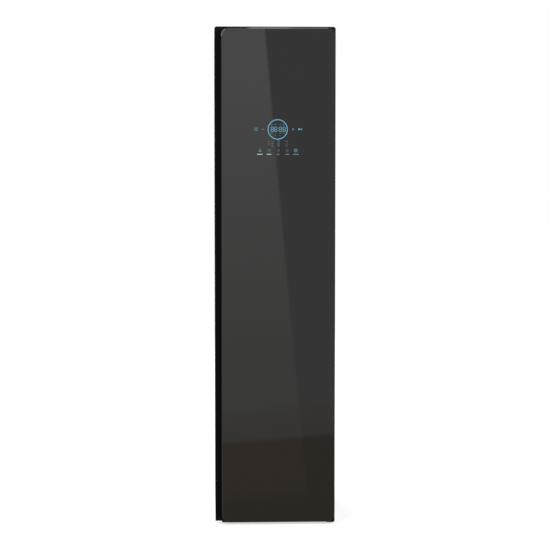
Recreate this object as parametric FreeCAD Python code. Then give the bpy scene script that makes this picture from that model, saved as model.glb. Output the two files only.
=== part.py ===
"""Clothes care steam cabinet: a tall single-door appliance, built as an assembly of separate pieces.

Frame: millimetres, X to the right, Y to the back (the door faces -Y), Z up. The origin is on the floor,
under the centre of the footprint. Every piece is written to parts/NODE.step, at its place in the closed
cabinet.
"""

import FreeCAD, Part
import math
import os

V = FreeCAD.Vector

# ---------------------------------------------------------------- driving dimensions
WIDTH = 445.0
DEPTH = 585.0
HEIGHT = 1850.0

SHEET = 1.2                    # steel casing
LINER = 3.0                    # moulded chamber walls
DOOR_Z0, DOOR_Z1 = 10.0, 1840.0
DOOR_THICK = 56.0              # glass face to the inner face of the door
GASKET_GAP = 8.0               # door to casing
GLASS_THICK = 4.0
GLASS_WIDTH = 421.0
GLASS_CORNER = 30.0
CASE_Z0 = 20.0                 # underside of the casing
CAP_HEIGHT = 12.0              # moulded top cap
SCREW_HEAD = 1.5               # low screw heads on the back make up the depth

CHAMBER_HALF = 186.0           # clear half width of the chamber
CHAMBER_Z0, CHAMBER_Z1 = 400.0, 1716.0
CHAMBER_BACK = 208.0
SHELF_Z = 790.0
HANG_Y, HANG_Z = -10.0, 1657.0  # axis of the hanger bar, along X
HANG_X = (-115.0, 0.0, 115.0)

HINGE_X, HINGE_Y = 205.0, -262.0
HINGE_PIN_R = 4.0
RUNNING = 0.05                 # radial clearance of a pin in its bush

# ---------------------------------------------------------------- derived places
HALF_W = WIDTH / 2
Y_FRONT = -DEPTH / 2
Y_BACK = DEPTH / 2
DOOR_BACK = Y_FRONT + DOOR_THICK
CASE_FRONT = DOOR_BACK + GASKET_GAP
BACK_OUT = Y_BACK - SCREW_HEAD
BACK_IN = BACK_OUT - SHEET
CASE_Z1 = HEIGHT - CAP_HEIGHT
GLASS_BACK = Y_FRONT + GLASS_THICK
GLASS_X1 = HALF_W - 0.5
GLASS_X0 = GLASS_X1 - GLASS_WIDTH + 0.5
LINER_OUT = CHAMBER_HALF + LINER
SHEET_IN = CASE_FRONT + SHEET  # inner face of the front flanges
PANEL_IN = HALF_W - SHEET      # inner face of the side panels


# ---------------------------------------------------------------- small shape helpers
def box(x0, x1, y0, y1, z0, z1):
    """A box between two corners."""
    return Part.makeBox(x1 - x0, y1 - y0, z1 - z0, V(x0, y0, z0))


def rod(r, start, along):
    """A cylinder of radius r from start, along a vector that has its length."""
    along = V(*along)
    return Part.makeCylinder(r, along.Length, V(*start), along)


def ring(r_out, r_in, start, along):
    """A round tube."""
    return rod(r_out, start, along).cut(rod(r_in, start, along))


def fused(shapes):
    """One solid from several that touch."""
    return shapes[0].multiFuse(shapes[1:]).removeSplitter()


def mirrored(shape):
    """The shape on the other side of the middle plane X = 0."""
    return shape.mirror(V(0, 0, 0), V(1, 0, 0))


def rounded_face(u0, u1, v0, v1, r, place):
    """A face with round corners; place turns (u, v) into a point."""
    corners = [(u1 - r, v0 + r, -90), (u1 - r, v1 - r, 0), (u0 + r, v1 - r, 90), (u0 + r, v0 + r, 180)]
    edges, first, last = [], None, None
    for cu, cv, start in corners:
        arc = [
            place(cu + r * math.cos(math.radians(a)), cv + r * math.sin(math.radians(a)))
            for a in (start, start + 45, start + 90)
        ]
        if last is not None:
            edges.append(Part.LineSegment(last, arc[0]).toShape())
        edges.append(Part.Arc(*arc).toShape())
        first = first or arc[0]
        last = arc[2]
    edges.append(Part.LineSegment(last, first).toShape())
    return Part.Face(Part.Wire(edges))


def slab_z(x0, x1, y0, y1, z0, z1, r):
    """A box whose upright edges are round."""
    return rounded_face(x0, x1, y0, y1, r, lambda u, v: V(u, v, z0)).extrude(V(0, 0, z1 - z0))


def slab_y(x0, x1, z0, z1, y0, y1, r):
    """A box whose edges along Y are round."""
    return rounded_face(x0, x1, z0, z1, r, lambda u, v: V(u, y0, v)).extrude(V(0, y1 - y0, 0))


def slab_x(y0, y1, z0, z1, x0, x1, r):
    """A box whose edges along X are round."""
    return rounded_face(y0, y1, z0, z1, r, lambda u, v: V(x0, u, v)).extrude(V(x1 - x0, 0, 0))


def prism(points, z0, height):
    """A polygon of (x, y) points at z0, extruded upwards."""
    corners = [V(x, y, z0) for x, y in points]
    return Part.Face(Part.makePolygon(corners + corners[:1])).extrude(V(0, 0, height))


def edges_where(shape, test):
    """The shape's edges whose every vertex passes the test."""
    return [e for e in shape.Edges if all(test(v.Point) for v in e.Vertexes)]


def tube_path(points, radius):
    """A wire of straight runs joined by tangent arcs of one radius."""
    points = [V(*p) for p in points]
    edges, last = [], points[0]
    for before, corner, after in zip(points, points[1:], points[2:]):
        back, on = (before - corner).normalize(), (after - corner).normalize()
        half = math.acos(max(-1.0, min(1.0, back.dot(on)))) / 2
        cut = radius / math.tan(half)
        start, end = corner + back * cut, corner + on * cut
        centre = corner + (back + on).normalize() * (radius / math.sin(half))
        middle = centre + (corner - centre).normalize() * radius
        edges += [Part.LineSegment(last, start).toShape(), Part.Arc(start, middle, end).toShape()]
        last = end
    edges.append(Part.LineSegment(last, points[-1]).toShape())
    return Part.Wire(edges)


def tube(points, bend, r_out, r_in=0.0):
    """A round pipe, or a bar if r_in is 0, along runs and arcs."""
    path = tube_path(points, bend)
    first = V(*points[1]) - V(*points[0])

    def swept(r):
        circle = Part.Wire(Part.Circle(V(*points[0]), first, r).toShape())
        return path.makePipeShell([circle], True, True)

    return swept(r_out).cut(swept(r_in)) if r_in else swept(r_out)


def save(node, *solids):
    """Writes a node's solids to its STEP file."""
    shape = Part.makeCompound([s for part in solids for s in part.Solids])
    if not shape.Solids or not shape.isValid():
        raise ValueError(f"{node} isn't a valid solid")
    shape.exportStep(f"parts/{node}.step")


# ---------------------------------------------------------------- casing
FLANGE = 34.0                  # front return of a side panel, which the gasket closes on
REAR_FLANGE = 20.0
BEND = 3.0                     # outer bend radius of the casing
SCREW_R = 2.5
HINGE_SCREW_X = 213.0
HINGE_SCREW_Z = (30.0, 55.0, 1802.0, 1824.0)
BACK_SCREW_Z = (62.0, 350.0, 655.0, 960.0, 1265.0, 1570.0, 1820.0)
BACK_SCREW_X = 212.0
TOP_ROUND = 8.0                # soft edge of the top cap


def side_panel():
    """The left side panel: one folded sheet with a front and a rear return. The right one mirrors it."""
    x0, far = -HALF_W, -100.0
    outer = slab_z(x0, far, CASE_FRONT, BACK_IN, CASE_Z0, CASE_Z1, BEND)
    inner = slab_z(x0 + SHEET, far - SHEET, SHEET_IN, BACK_IN - SHEET, CASE_Z0, CASE_Z1, BEND - SHEET)
    front = box(x0, x0 + FLANGE, CASE_FRONT, 0, CASE_Z0, CASE_Z1)
    rear = box(x0, x0 + REAR_FLANGE, 0, BACK_IN, CASE_Z0, CASE_Z1)
    panel = outer.cut(inner).common(fused([front, rear]))
    for z in BACK_SCREW_Z:
        panel = panel.cut(rod(SCREW_R, (-BACK_SCREW_X, BACK_IN - 3, z), (0, 6, 0)))
    return panel.removeSplitter()


def casing():
    left = side_panel()
    right = mirrored(left)
    for z in HINGE_SCREW_Z:
        right = right.cut(rod(SCREW_R, (HINGE_SCREW_X, CASE_FRONT - 3, z), (0, 8, 0)))
    save("side_panel_left", left)
    save("side_panel_right", right)

    save("top_panel", top_panel())
    save("back_panel", back_panel())
    save("base_tray", base_tray())
    save("front_rails", *front_rails())
    save("lower_front_panel", lower_front_panel())


def top_panel():
    """The moulded top cap, hollow underneath, with a soft edge all round."""
    cap = slab_z(-HALF_W, HALF_W, CASE_FRONT, BACK_OUT, CASE_Z1, HEIGHT, TOP_ROUND + 1)
    cap = cap.makeFillet(TOP_ROUND, edges_where(cap, lambda p: p.z > HEIGHT - 0.1))
    inner, ceiling = TOP_ROUND - LINER, HEIGHT - LINER
    hollow = slab_z(-HALF_W + LINER, HALF_W - LINER, CASE_FRONT + LINER, BACK_OUT - LINER, CASE_Z1, ceiling,
                    inner + 1)
    hollow = hollow.makeFillet(inner, edges_where(hollow, lambda p: p.z > ceiling - 0.1))
    return cap.cut(hollow)


VENT_Z = (70.0, 250.0)         # louvre field of the back panel
VENT_X = (-60.0, 10.0, 80.0, 150.0)
VENT_W, VENT_H, VENT_PITCH = 56.0, 5.0, 15.0
RIB_X, RIB_Z = (-130.0, 0.0, 130.0), (420.0, 1740.0)
RIB_W, RIB_OUT = 22.0, 1.0
ANCHOR_Z, ANCHOR_SPACING, ANCHOR_R = 1790.0, 320.0, 2.75
INLET_X, INLET_Z = -150.0, 95.0
INLET_W, INLET_H, INLET_CORNER = 48.0, 28.0, 3.0


def back_panel():
    """A flat steel back with pressed ribs, vent slots, the mains inlet's window and two wall anchor holes."""
    half = HALF_W - 1.0
    y0, y1 = BACK_IN - 1, BACK_OUT + 1
    panel = box(-half, half, BACK_IN, BACK_OUT, CASE_Z0 + 1, CASE_Z1)
    for x in RIB_X:
        rib = box(x - RIB_W / 2, x + RIB_W / 2, BACK_OUT, BACK_OUT + RIB_OUT, *RIB_Z)
        rib = rib.makeChamfer(RIB_OUT - 0.1, edges_where(rib, lambda p: p.y > BACK_OUT + RIB_OUT - 0.1))
        panel = panel.fuse(rib)
    panel = panel.cut(slab_y(INLET_X - INLET_W / 2, INLET_X + INLET_W / 2, INLET_Z - INLET_H / 2,
                             INLET_Z + INLET_H / 2, y0, y1, INLET_CORNER))
    cuts = []
    for x in VENT_X:
        for k in range(int((VENT_Z[1] - VENT_Z[0]) / VENT_PITCH) + 1):
            z = VENT_Z[0] + k * VENT_PITCH
            cuts.append(slab_y(x - VENT_W / 2, x + VENT_W / 2, z, z + VENT_H, y0, y1, VENT_H / 2 - 0.1))
    for side in (-1, 1):
        cuts += [rod(SCREW_R, (side * BACK_SCREW_X, y0, z), (0, y1 - y0, 0)) for z in BACK_SCREW_Z]
        cuts.append(rod(ANCHOR_R, (side * ANCHOR_SPACING / 2, y0, ANCHOR_Z), (0, y1 - y0, 0)))
    return panel.cut(Part.makeCompound(cuts)).removeSplitter()


TRAY = 1.5
TRAY_RIM_Z = 46.0
FOOT_X, FOOT_Y_FRONT, FOOT_Y_REAR = 185.0, -196.0, 250.0
FOOT_STEM_R, FOOT_PAD, FOOT_BOSS_R = 5.0, 9.0, 11.0
FOOT_R, REAR_PAD, RIVET_R = 20.0, (22.0, 16.0), 4.0    # round pad, half sizes of the rear pad, and its rivet


def base_tray():
    """The folded tray that carries the machinery and the feet."""
    outer = slab_z(-PANEL_IN, PANEL_IN, SHEET_IN, BACK_IN - SHEET, CASE_Z0, TRAY_RIM_Z, TRAY + 1)
    inner = slab_z(-PANEL_IN + TRAY, PANEL_IN - TRAY, SHEET_IN + TRAY, BACK_IN - SHEET - TRAY,
                   CASE_Z0 + TRAY, TRAY_RIM_Z + 1, 1)
    tray = outer.cut(inner).cut(rod(SCREW_R, (HINGE_SCREW_X, SHEET_IN - 1, HINGE_SCREW_Z[0]), (0, 5, 0)))
    for side in (-1, 1):
        place = (side * FOOT_X, FOOT_Y_FRONT, CASE_Z0 + TRAY)
        tray = tray.fuse(rod(FOOT_BOSS_R, place, (0, 0, 14)))
        tray = tray.cut(rod(FOOT_STEM_R + RUNNING, (place[0], place[1], CASE_Z0 - 1), (0, 0, 40)))
        tray = tray.cut(rod(RIVET_R, (side * FOOT_X, FOOT_Y_REAR, CASE_Z0 - 1), (0, 0, TRAY + 2)))
    return tray.removeSplitter()


RAIL_HALF = HALF_W - FLANGE
RAIL_RETURN = 3.2
RAILS = ((CASE_Z0, 60.0), (372.0, 398.0), (1718.0, CASE_Z1))
KICK = 2.5                     # moulded kick panel
KICK_ROWS, KICK_PITCH, KICK_Z, KICK_SLOT = 9, 14.0, 90.0, (100.0, 5.0)


def front_rails():
    """Three steel cross rails between the side panels' front returns."""
    rails = []
    for z0, z1 in RAILS:
        rail = box(-RAIL_HALF, RAIL_HALF, CASE_FRONT, SHEET_IN, z0, z1)
        if z0 > CASE_Z0:
            lip = z0 if z1 < CASE_Z1 else z1 - SHEET
            rail = rail.fuse(box(-RAIL_HALF, RAIL_HALF, SHEET_IN, SHEET_IN + RAIL_RETURN, lip, lip + SHEET))
        rails.append(rail.removeSplitter())
    return rails


def lower_front_panel():
    """The moulded kick panel in front of the water tanks, with a field of vent slots."""
    y0, y1 = CASE_FRONT, CASE_FRONT + KICK
    panel = box(-RAIL_HALF, RAIL_HALF, y0, y1, RAILS[0][1], RAILS[1][0])
    slots = []
    slot_w, slot_h = KICK_SLOT
    for row in range(KICK_ROWS):
        z = KICK_Z + KICK_PITCH * row
        for x in (-120.0, 0.0, 120.0):
            slots.append(slab_y(x - slot_w / 2, x + slot_w / 2, z, z + slot_h, y0 - 1, y1 + 1,
                                slot_h / 2 - 0.1))
    return panel.cut(Part.makeCompound(slots))


# ---------------------------------------------------------------- chamber
TANK_W, TANK_D = 176.0, 131.0          # outer size of a water tank
TANK_X, TANK_Y = 95.0, -147.0          # centre of the right tank
TANK_Z0, TANK_Z1 = 133.0, 388.0
TANK_CORNER = 18.0
WELL_GAP = 2.0
WELL_WALL = 2.5
WELL_CORNER = 6.0
TAP_Y, HOSE_BORE = 40.0, 4.0           # outlet under a tank, behind its centre
FILTER_X, FILTER_Y = -95.0, 30.0       # centre of the lint filter
FILTER_W, FILTER_D, FILTER_H = 170.0, 120.0, 26.0
NOZZLE_X, NOZZLE_Y = -100.0, 150.0
OUTLET_X, OUTLET_Z = 75.0, (440.0, 760.0)
LOUVRE_HALF, LOUVRE_H, LOUVRE_PITCH = 38.0, 7.0, 16.0
ARM_X, ARM_W, ARM_D = 70.0, 16.0, 24.0
STROKE = 18.0
LAMP_Y, LAMP_HALF, LAMP_HALF_D, LAMP_CORNER = -165.0, 130.0, 14.0, 6.0
LEDGE_Y, LEDGE_HALF, LEDGE_OUT, LEDGE_H = (-120.0, 120.0), 25.0, 9.0, 8.0
GROOVE_Z, GROOVE_DEEP = (1000.0, 1150.0, 1300.0), 1.2


def liner_side():
    """The left chamber wall, with two ledges for the shelf and three grooves. The right one mirrors it."""
    face = -CHAMBER_HALF
    wall = box(-LINER_OUT, face, SHEET_IN, CHAMBER_BACK, CHAMBER_Z0, CHAMBER_Z1)
    for y in LEDGE_Y:
        wall = wall.fuse(slab_x(y - LEDGE_HALF, y + LEDGE_HALF, SHELF_Z - LEDGE_H, SHELF_Z, face - 1,
                                face + LEDGE_OUT, 3))
    for z in GROOVE_Z:
        wall = wall.cut(slab_x(-150, 150, z - 4, z + 4, face - GROOVE_DEEP, face + 1, 3.9))
    return wall.removeSplitter()


def liner_back():
    """The chamber's back wall, with the warm air outlet's louvres."""
    wall = box(-LINER_OUT, LINER_OUT, CHAMBER_BACK, CHAMBER_BACK + LINER, CHAMBER_Z0, CHAMBER_Z1)
    rim = LOUVRE_HALF + 10
    frame = slab_y(OUTLET_X - rim, OUTLET_X + rim, OUTLET_Z[0] - 12, OUTLET_Z[1] + 6, CHAMBER_BACK - 2.5,
                   CHAMBER_BACK, 8)
    slots = []
    for k in range(int((OUTLET_Z[1] - OUTLET_Z[0]) / LOUVRE_PITCH)):
        z = OUTLET_Z[0] + k * LOUVRE_PITCH
        slots.append(slab_y(OUTLET_X - LOUVRE_HALF, OUTLET_X + LOUVRE_HALF, z, z + LOUVRE_H, CHAMBER_BACK - 3,
                            CHAMBER_BACK + LINER + 1, LOUVRE_H / 2 - 0.1))
    return wall.fuse(frame).cut(Part.makeCompound(slots)).removeSplitter()


def chamber_ceiling():
    """The ceiling, with slots for the hanger arms, a recess for the lamp and bosses for the drive."""
    z0, z1 = CHAMBER_Z1, CHAMBER_Z1 + LINER
    top = box(-LINER_OUT, LINER_OUT, SHEET_IN, CHAMBER_BACK + LINER, z0, z1)
    for side in (-1, 1):
        for y in (-75.0, 75.0):
            top = top.fuse(rod(7, (side * 140, HANG_Y + y, z1), (0, 0, 3)))
    for side in (-1, 1):
        top = top.cut(arm_slot(side, z0 - 1, z1 + 1))
    recess = slab_z(-LAMP_HALF, LAMP_HALF, LAMP_Y - LAMP_HALF_D, LAMP_Y + LAMP_HALF_D, z0 - 1, z1 + 1,
                    LAMP_CORNER)
    return top.cut(recess).removeSplitter()


def arm_slot(side, z0, z1):
    """The slot that a hanger arm slides in, with room all round."""
    room = 3.0
    reach, half = ARM_W / 2 + STROKE + room, ARM_D / 2 + room
    return slab_z(side * ARM_X - reach, side * ARM_X + reach, HANG_Y - half, HANG_Y + half, z0, z1, 5)


def chamber_floor():
    """The chamber's floor, with openings for the two tanks, the lint filter and the steam nozzle."""
    z0, z1 = CHAMBER_Z0 - LINER, CHAMBER_Z0
    floor = box(-LINER_OUT, LINER_OUT, SHEET_IN, CHAMBER_BACK + LINER, z0, z1)
    for side in (-1, 1):
        floor = floor.cut(tank_bay(side * TANK_X, z0 - 1, z1 + 1))
    half_w, half_d = FILTER_W / 2 + 1, FILTER_D / 2 + 1
    floor = floor.cut(slab_z(FILTER_X - half_w, FILTER_X + half_w, FILTER_Y - half_d, FILTER_Y + half_d,
                             z0 - 1, z1 + 1, 9))
    floor = floor.cut(rod(NOZZLE_R, (NOZZLE_X, NOZZLE_Y, z0 - 1), (0, 0, 6)))
    return floor.removeSplitter()


NOZZLE_R = 22.0


def tank_outline(x, inset, z0, z1):
    """A tank's rounded plan, less an inset all round."""
    half_x, half_y = TANK_W / 2 - inset, TANK_D / 2 - inset
    return slab_z(x - half_x, x + half_x, TANK_Y - half_y, TANK_Y + half_y, z0, z1, TANK_CORNER - inset)


def tank_bay(x, z0, z1):
    """The room that a tank stands in: its plan and a gap all round, with tighter corners than the tank's."""
    half_x, half_y = TANK_W / 2 + WELL_GAP, TANK_D / 2 + WELL_GAP
    return slab_z(x - half_x, x + half_x, TANK_Y - half_y, TANK_Y + half_y, z0, z1, WELL_CORNER)


def tank_well():
    """The moulded double pocket under the floor that the tanks stand in."""
    around = WELL_GAP + WELL_WALL
    half_x, half_y = TANK_X + TANK_W / 2 + around, TANK_D / 2 + around
    well = slab_z(-half_x, half_x, TANK_Y - half_y, TANK_Y + half_y, TANK_Z0 - WELL_WALL, CHAMBER_Z0 - LINER,
                  WELL_CORNER + WELL_WALL)
    for side in (-1, 1):
        well = well.cut(tank_bay(side * TANK_X, TANK_Z0, CHAMBER_Z0))
        well = well.cut(rod(HOSE_BORE, (side * TANK_X, TANK_Y + TAP_Y, TANK_Z0 - 10), (0, 0, 20)))
    return well


def insulation():
    """Foam boards round the chamber: left, right, and four behind it that leave room for the riser."""
    behind = CHAMBER_BACK + LINER
    left = box(-PANEL_IN, -LINER_OUT, SHEET_IN + BEND, behind, CHAMBER_Z0, CHAMBER_Z1)
    half = HALF_W - REAR_FLANGE - 0.5
    x0, x1, z1 = RISER_X0 - 1, RISER_X1 + 1, RISER_Z1 + 1
    beside = [box(-half, x0, behind, BACK_IN, CHAMBER_Z0, z1), box(x1, half, behind, BACK_IN, CHAMBER_Z0, z1)]
    over = box(-half, half, behind, BACK_IN, z1, CHAMBER_Z1)
    outside = box(x0, x1, RISER_Y1 + 1, BACK_IN, CHAMBER_Z0, z1)
    return [left, mirrored(left), over, outside] + beside


def lamp():
    """The light strip: a diffuser that fills the ceiling's recess, with its board on top."""
    z0, z1 = CHAMBER_Z1, CHAMBER_Z1 + LINER
    board_half, board_half_d = LAMP_HALF + 8, LAMP_HALF_D + 6
    lens = slab_z(-LAMP_HALF, LAMP_HALF, LAMP_Y - LAMP_HALF_D, LAMP_Y + LAMP_HALF_D, z0 - 2, z1, LAMP_CORNER)
    board = slab_z(-board_half, board_half, LAMP_Y - board_half_d, LAMP_Y + board_half_d, z1, z1 + 6,
                   LAMP_CORNER)
    return lens.fuse(board).removeSplitter()


def chamber():
    left = liner_side()
    save("liner_left", left)
    save("liner_right", mirrored(left))
    save("liner_back", liner_back())
    save("chamber_ceiling", chamber_ceiling())
    save("chamber_floor", chamber_floor())
    save("tank_well", tank_well())
    save("insulation_boards", *insulation())
    save("chamber_lamp", lamp())


# ---------------------------------------------------------------- air, heat and steam machinery
RISER_Y1 = 262.0
RISER_X0, RISER_X1 = 28.0, 120.0
RISER_Z0, RISER_Z1 = 250.0, 790.0
DUCT_X0, DUCT_X1 = -188.0, 44.0
DUCT_Y0, DUCT_Y1 = -66.0, 118.0
DUCT_Z0 = 240.0
DUCT_WALL, RISER_WALL = 2.5, 2.0
FAN_Y, FAN_Z = 26.0, 312.0
FAN_X0, FAN_X1 = DUCT_X1, 102.0        # housing's two faces
FAN_R_IN, FAN_WALL = 72.0, 2.5
IMPELLER_R, IMPELLER_X0, IMPELLER_X1 = 62.0, 54.0, 92.0
INLET_R = 44.0
SHAFT_R = 4.0
MOTOR_CAN_R, MOTOR_CAN, MOTOR_NOSE_R = 34.0, 38.0, 13.0


def exchanger_duct():
    """The duct round the two exchangers, open towards the filter above it."""
    top = CHAMBER_Z0 - LINER
    duct = box(DUCT_X0, DUCT_X1, DUCT_Y0, DUCT_Y1, DUCT_Z0, top)
    duct = duct.cut(box(DUCT_X0 + DUCT_WALL, DUCT_X1 - DUCT_WALL, DUCT_Y0 + DUCT_WALL, DUCT_Y1 - DUCT_WALL,
                        DUCT_Z0 + DUCT_WALL, top + 1))
    return duct.cut(rod(INLET_R, (DUCT_X1 - 5, FAN_Y, FAN_Z), (10, 0, 0)))


def riser_duct():
    """The duct that leads the fan's air up behind the chamber, to the louvres."""
    y0, wall = CHAMBER_BACK + LINER, RISER_WALL
    riser = box(RISER_X0, RISER_X1, y0, RISER_Y1, RISER_Z0, RISER_Z1)
    riser = riser.cut(box(RISER_X0 + wall, RISER_X1 - wall, y0 - 1, RISER_Y1 - wall, RISER_Z0 + wall,
                          RISER_Z1 - wall))
    riser = riser.fuse(box(RISER_X0, RISER_X1, y0, y0 + wall, RISER_Z0, CHAMBER_Z0 - LINER))
    return riser.cut(outlet_box(-FAN_WALL, y0 - 1, y0 + wall + 1)).removeSplitter()


def outlet_box(grow, y0, y1):
    """The square section of the fan's outlet, from y0 to y1."""
    return box(FAN_X0 - grow, FAN_X1 + grow, y0, y1, FAN_Z + 14 - grow, FAN_Z + FAN_R_IN + FAN_WALL + grow)


def exchanger(x0, x1, rows):
    """A finned block: upright plates with rows of tubes through them, between two end plates."""
    fins, fin, plate, levels, tube_r, border, height = 15, 1.0, 1.5, 4, 4.5, 14.0, 118.0
    y0, y1 = DUCT_Y0 + DUCT_WALL, DUCT_Y1 - DUCT_WALL
    z0, z1 = DUCT_Z0 + DUCT_WALL, DUCT_Z0 + height
    pitch = (y1 - y0 - fin) / (fins - 1)
    parts = [box(x0, x1, y0 + i * pitch, y0 + i * pitch + fin, z0, z1) for i in range(fins)]
    for row in range(rows):
        x = x0 + (row + 0.5) * (x1 - x0) / rows
        for level in range(levels):
            z = z0 + border + level * (z1 - z0 - 2 * border) / (levels - 1)
            parts.append(rod(tube_r, (x, y0, z), (0, y1 - y0, 0)))
    parts += [box(x0, x1, y0, y1, z, z + plate) for z in (z0, z1 - plate)]
    return fused(parts)


def fan_housing():
    """The drum that the impeller turns in, with a square outlet to the riser."""
    width = FAN_X1 - FAN_X0
    drum = rod(FAN_R_IN + FAN_WALL, (FAN_X0, FAN_Y, FAN_Z), (width, 0, 0)).fuse(
        outlet_box(0, FAN_Y, CHAMBER_BACK + LINER))
    hollow = rod(FAN_R_IN, (FAN_X0 + FAN_WALL, FAN_Y, FAN_Z), (width - 2 * FAN_WALL, 0, 0)).fuse(
        outlet_box(-FAN_WALL, FAN_Y, CHAMBER_BACK + LINER + 1))
    drum = drum.cut(hollow)
    drum = drum.cut(rod(INLET_R, (FAN_X0 - 1, FAN_Y, FAN_Z), (FAN_WALL + 2, 0, 0)))
    drum = drum.cut(rod(SHAFT_R + 3, (FAN_X1 - FAN_WALL - 1, FAN_Y, FAN_Z), (FAN_WALL + 2, 0, 0)))
    return drum.removeSplitter()


def fan_motor():
    """The fan's motor: a rounded can on the housing, with a bearing nose and a blind bore for the shaft."""
    far = FAN_X1 + MOTOR_CAN
    body = rod(MOTOR_CAN_R, (FAN_X1, FAN_Y, FAN_Z), (MOTOR_CAN, 0, 0))
    body = body.makeFillet(4, edges_where(body, lambda p: p.x > far - 1))
    body = body.fuse(rod(MOTOR_NOSE_R, (far, FAN_Y, FAN_Z), (8, 0, 0)))
    return body.cut(rod(SHAFT_R + RUNNING, (FAN_X1 - 1, FAN_Y, FAN_Z), (MOTOR_CAN - 6, 0, 0)))


def fan_impeller():
    """A drum of short blades on a back plate, with its shaft running into the motor."""
    blades, lean, plate, blade_deep, blade_thick, hub_r, hub = 24, 28.0, 2.5, 10.4, 1.6, 12.0, 20.0
    tip = FAN_Z + IMPELLER_R - 0.6
    hub_x = IMPELLER_X1 - hub
    parts = [rod(IMPELLER_R, (IMPELLER_X1 - plate, FAN_Y, FAN_Z), (plate, 0, 0)),
             ring(IMPELLER_R, IMPELLER_R - 8, (IMPELLER_X0, FAN_Y, FAN_Z), (plate, 0, 0)),
             rod(hub_r, (hub_x, FAN_Y, FAN_Z), (hub, 0, 0)),
             rod(SHAFT_R, (hub_x, FAN_Y, FAN_Z), (FAN_X1 + MOTOR_CAN - 13 - hub_x, 0, 0))]
    for i in range(blades):
        blade = box(IMPELLER_X0 + 1, IMPELLER_X1 - 1, FAN_Y - blade_thick / 2, FAN_Y + blade_thick / 2,
                    tip - blade_deep, tip)
        blade.rotate(V(0, FAN_Y, tip - blade_deep / 2), V(1, 0, 0), lean)
        blade.rotate(V(0, FAN_Y, FAN_Z), V(1, 0, 0), 360.0 * i / blades)
        parts.append(blade)
    return fused(parts).common(rod(IMPELLER_R, (IMPELLER_X0, FAN_Y, FAN_Z), (90, 0, 0)))


COMPRESSOR_X, COMPRESSOR_Y = 120.0, 190.0
CAN_R, CAN_H, CAN_FOOT = 58.0, 150.0, 12.0
PLATE_HALF_X, PLATE_HALF_Y = 72.0, 40.0


def compressor():
    """A hermetic compressor: a welded can with a terminal box, on a base plate with four rubber mounts."""
    x, y, floor = COMPRESSOR_X, COMPRESSOR_Y, CASE_Z0 + TRAY
    z0 = floor + CAN_FOOT
    can = rod(CAN_R, (x, y, z0), (0, 0, CAN_H))
    can = can.makeFillet(24, edges_where(can, lambda p: p.z > z0 + CAN_H - 1))
    weld = rod(CAN_R + 2.5, (x, y, z0 + 70), (0, 0, 6))
    plate = slab_z(x - PLATE_HALF_X, x + PLATE_HALF_X, y - PLATE_HALF_Y, y + PLATE_HALF_Y, z0, z0 + 4, 12)
    terminals = slab_z(x - 20, x + 20, y - CAN_R - 12, y - CAN_R + 6, z0 + 80, z0 + 120, 4)
    feet = [rod(10, (x + side * (PLATE_HALF_X - 12), y + end * (PLATE_HALF_Y - 12), floor), (0, 0, CAN_FOOT))
            for side in (-1, 1) for end in (-1, 1)]
    return fused([can, weld, plate, terminals] + feet)


def refrigerant_pipes():
    """Two copper pipes from the compressor's top to the exchangers."""
    top = CASE_Z0 + TRAY + CAN_FOOT + CAN_H
    z = DUCT_Z0 - 12.0
    suction = tube([(COMPRESSOR_X - 25, COMPRESSOR_Y, top), (COMPRESSOR_X - 25, COMPRESSOR_Y, top + 32),
                    (-150, COMPRESSOR_Y - 40, top + 32), (-150, 60, top + 32), (-150, 60, DUCT_Z0)], 12, 4)
    leave_x, leave_y = COMPRESSOR_X + 5, COMPRESSOR_Y - 25
    discharge = tube([(leave_x, leave_y, top), (leave_x, leave_y, z - 4), (-40, 100, z - 4), (-40, 40, z - 4),
                      (-40, 40, DUCT_Z0)], 7, 3)
    return [suction, discharge]


STEAM_X, STEAM_Y = -130.0, 205.0
BOILER_HALF_X, BOILER_HALF_Y = 70.0, 42.0
BOILER_Z = (14.0, 62.0, 68.0, 100.0)   # feet, vessel, flange and lid, above the tray
SPOUT_X, SPOUT_TOP = 30.0, 113.0
INTAKE_X, INTAKE_Y, INTAKE_UP = -40.0, -53.0, 40.0


def steam_generator():
    """The boiler: a flanged box on two feet, with its outlet on top and two heater terminals."""
    z0 = CASE_Z0 + TRAY

    def block(grow, low, high, corner):
        half_x, half_y = BOILER_HALF_X + grow, BOILER_HALF_Y + grow
        return slab_z(STEAM_X - half_x, STEAM_X + half_x, STEAM_Y - half_y, STEAM_Y + half_y, z0 + low,
                      z0 + high, corner)

    foot_z, vessel_z, flange_z, lid_z = BOILER_Z
    lid = block(-2, flange_z, lid_z, 16)
    lid = lid.makeFillet(8, edges_where(lid, lambda p: p.z > z0 + lid_z - 1))
    feet = [slab_z(STEAM_X + x - 12, STEAM_X + x + 12, STEAM_Y - 36, STEAM_Y + 36, z0, z0 + foot_z, 3)
            for x in (-45, 45)]
    spout = rod(9, (STEAM_X + SPOUT_X, STEAM_Y, z0 + lid_z - 1), (0, 0, SPOUT_TOP - lid_z + 1))
    terminals = [rod(4, (STEAM_X + BOILER_HALF_X - 1, STEAM_Y + y, z0 + 38), (12, 0, 0)) for y in (-16, 16)]
    intake = rod(6, (STEAM_X + INTAKE_X, STEAM_Y + INTAKE_Y, z0 + INTAKE_UP), (0, -INTAKE_Y - 41, 0))
    return fused([block(0, foot_z, vessel_z, 16), block(5, vessel_z, flange_z, 18), lid, spout, intake]
                 + feet + terminals)


NOZZLE_CUP, NOZZLE_STUB, NOZZLE_WALL = 24.0, 16.0, 2.5


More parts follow.
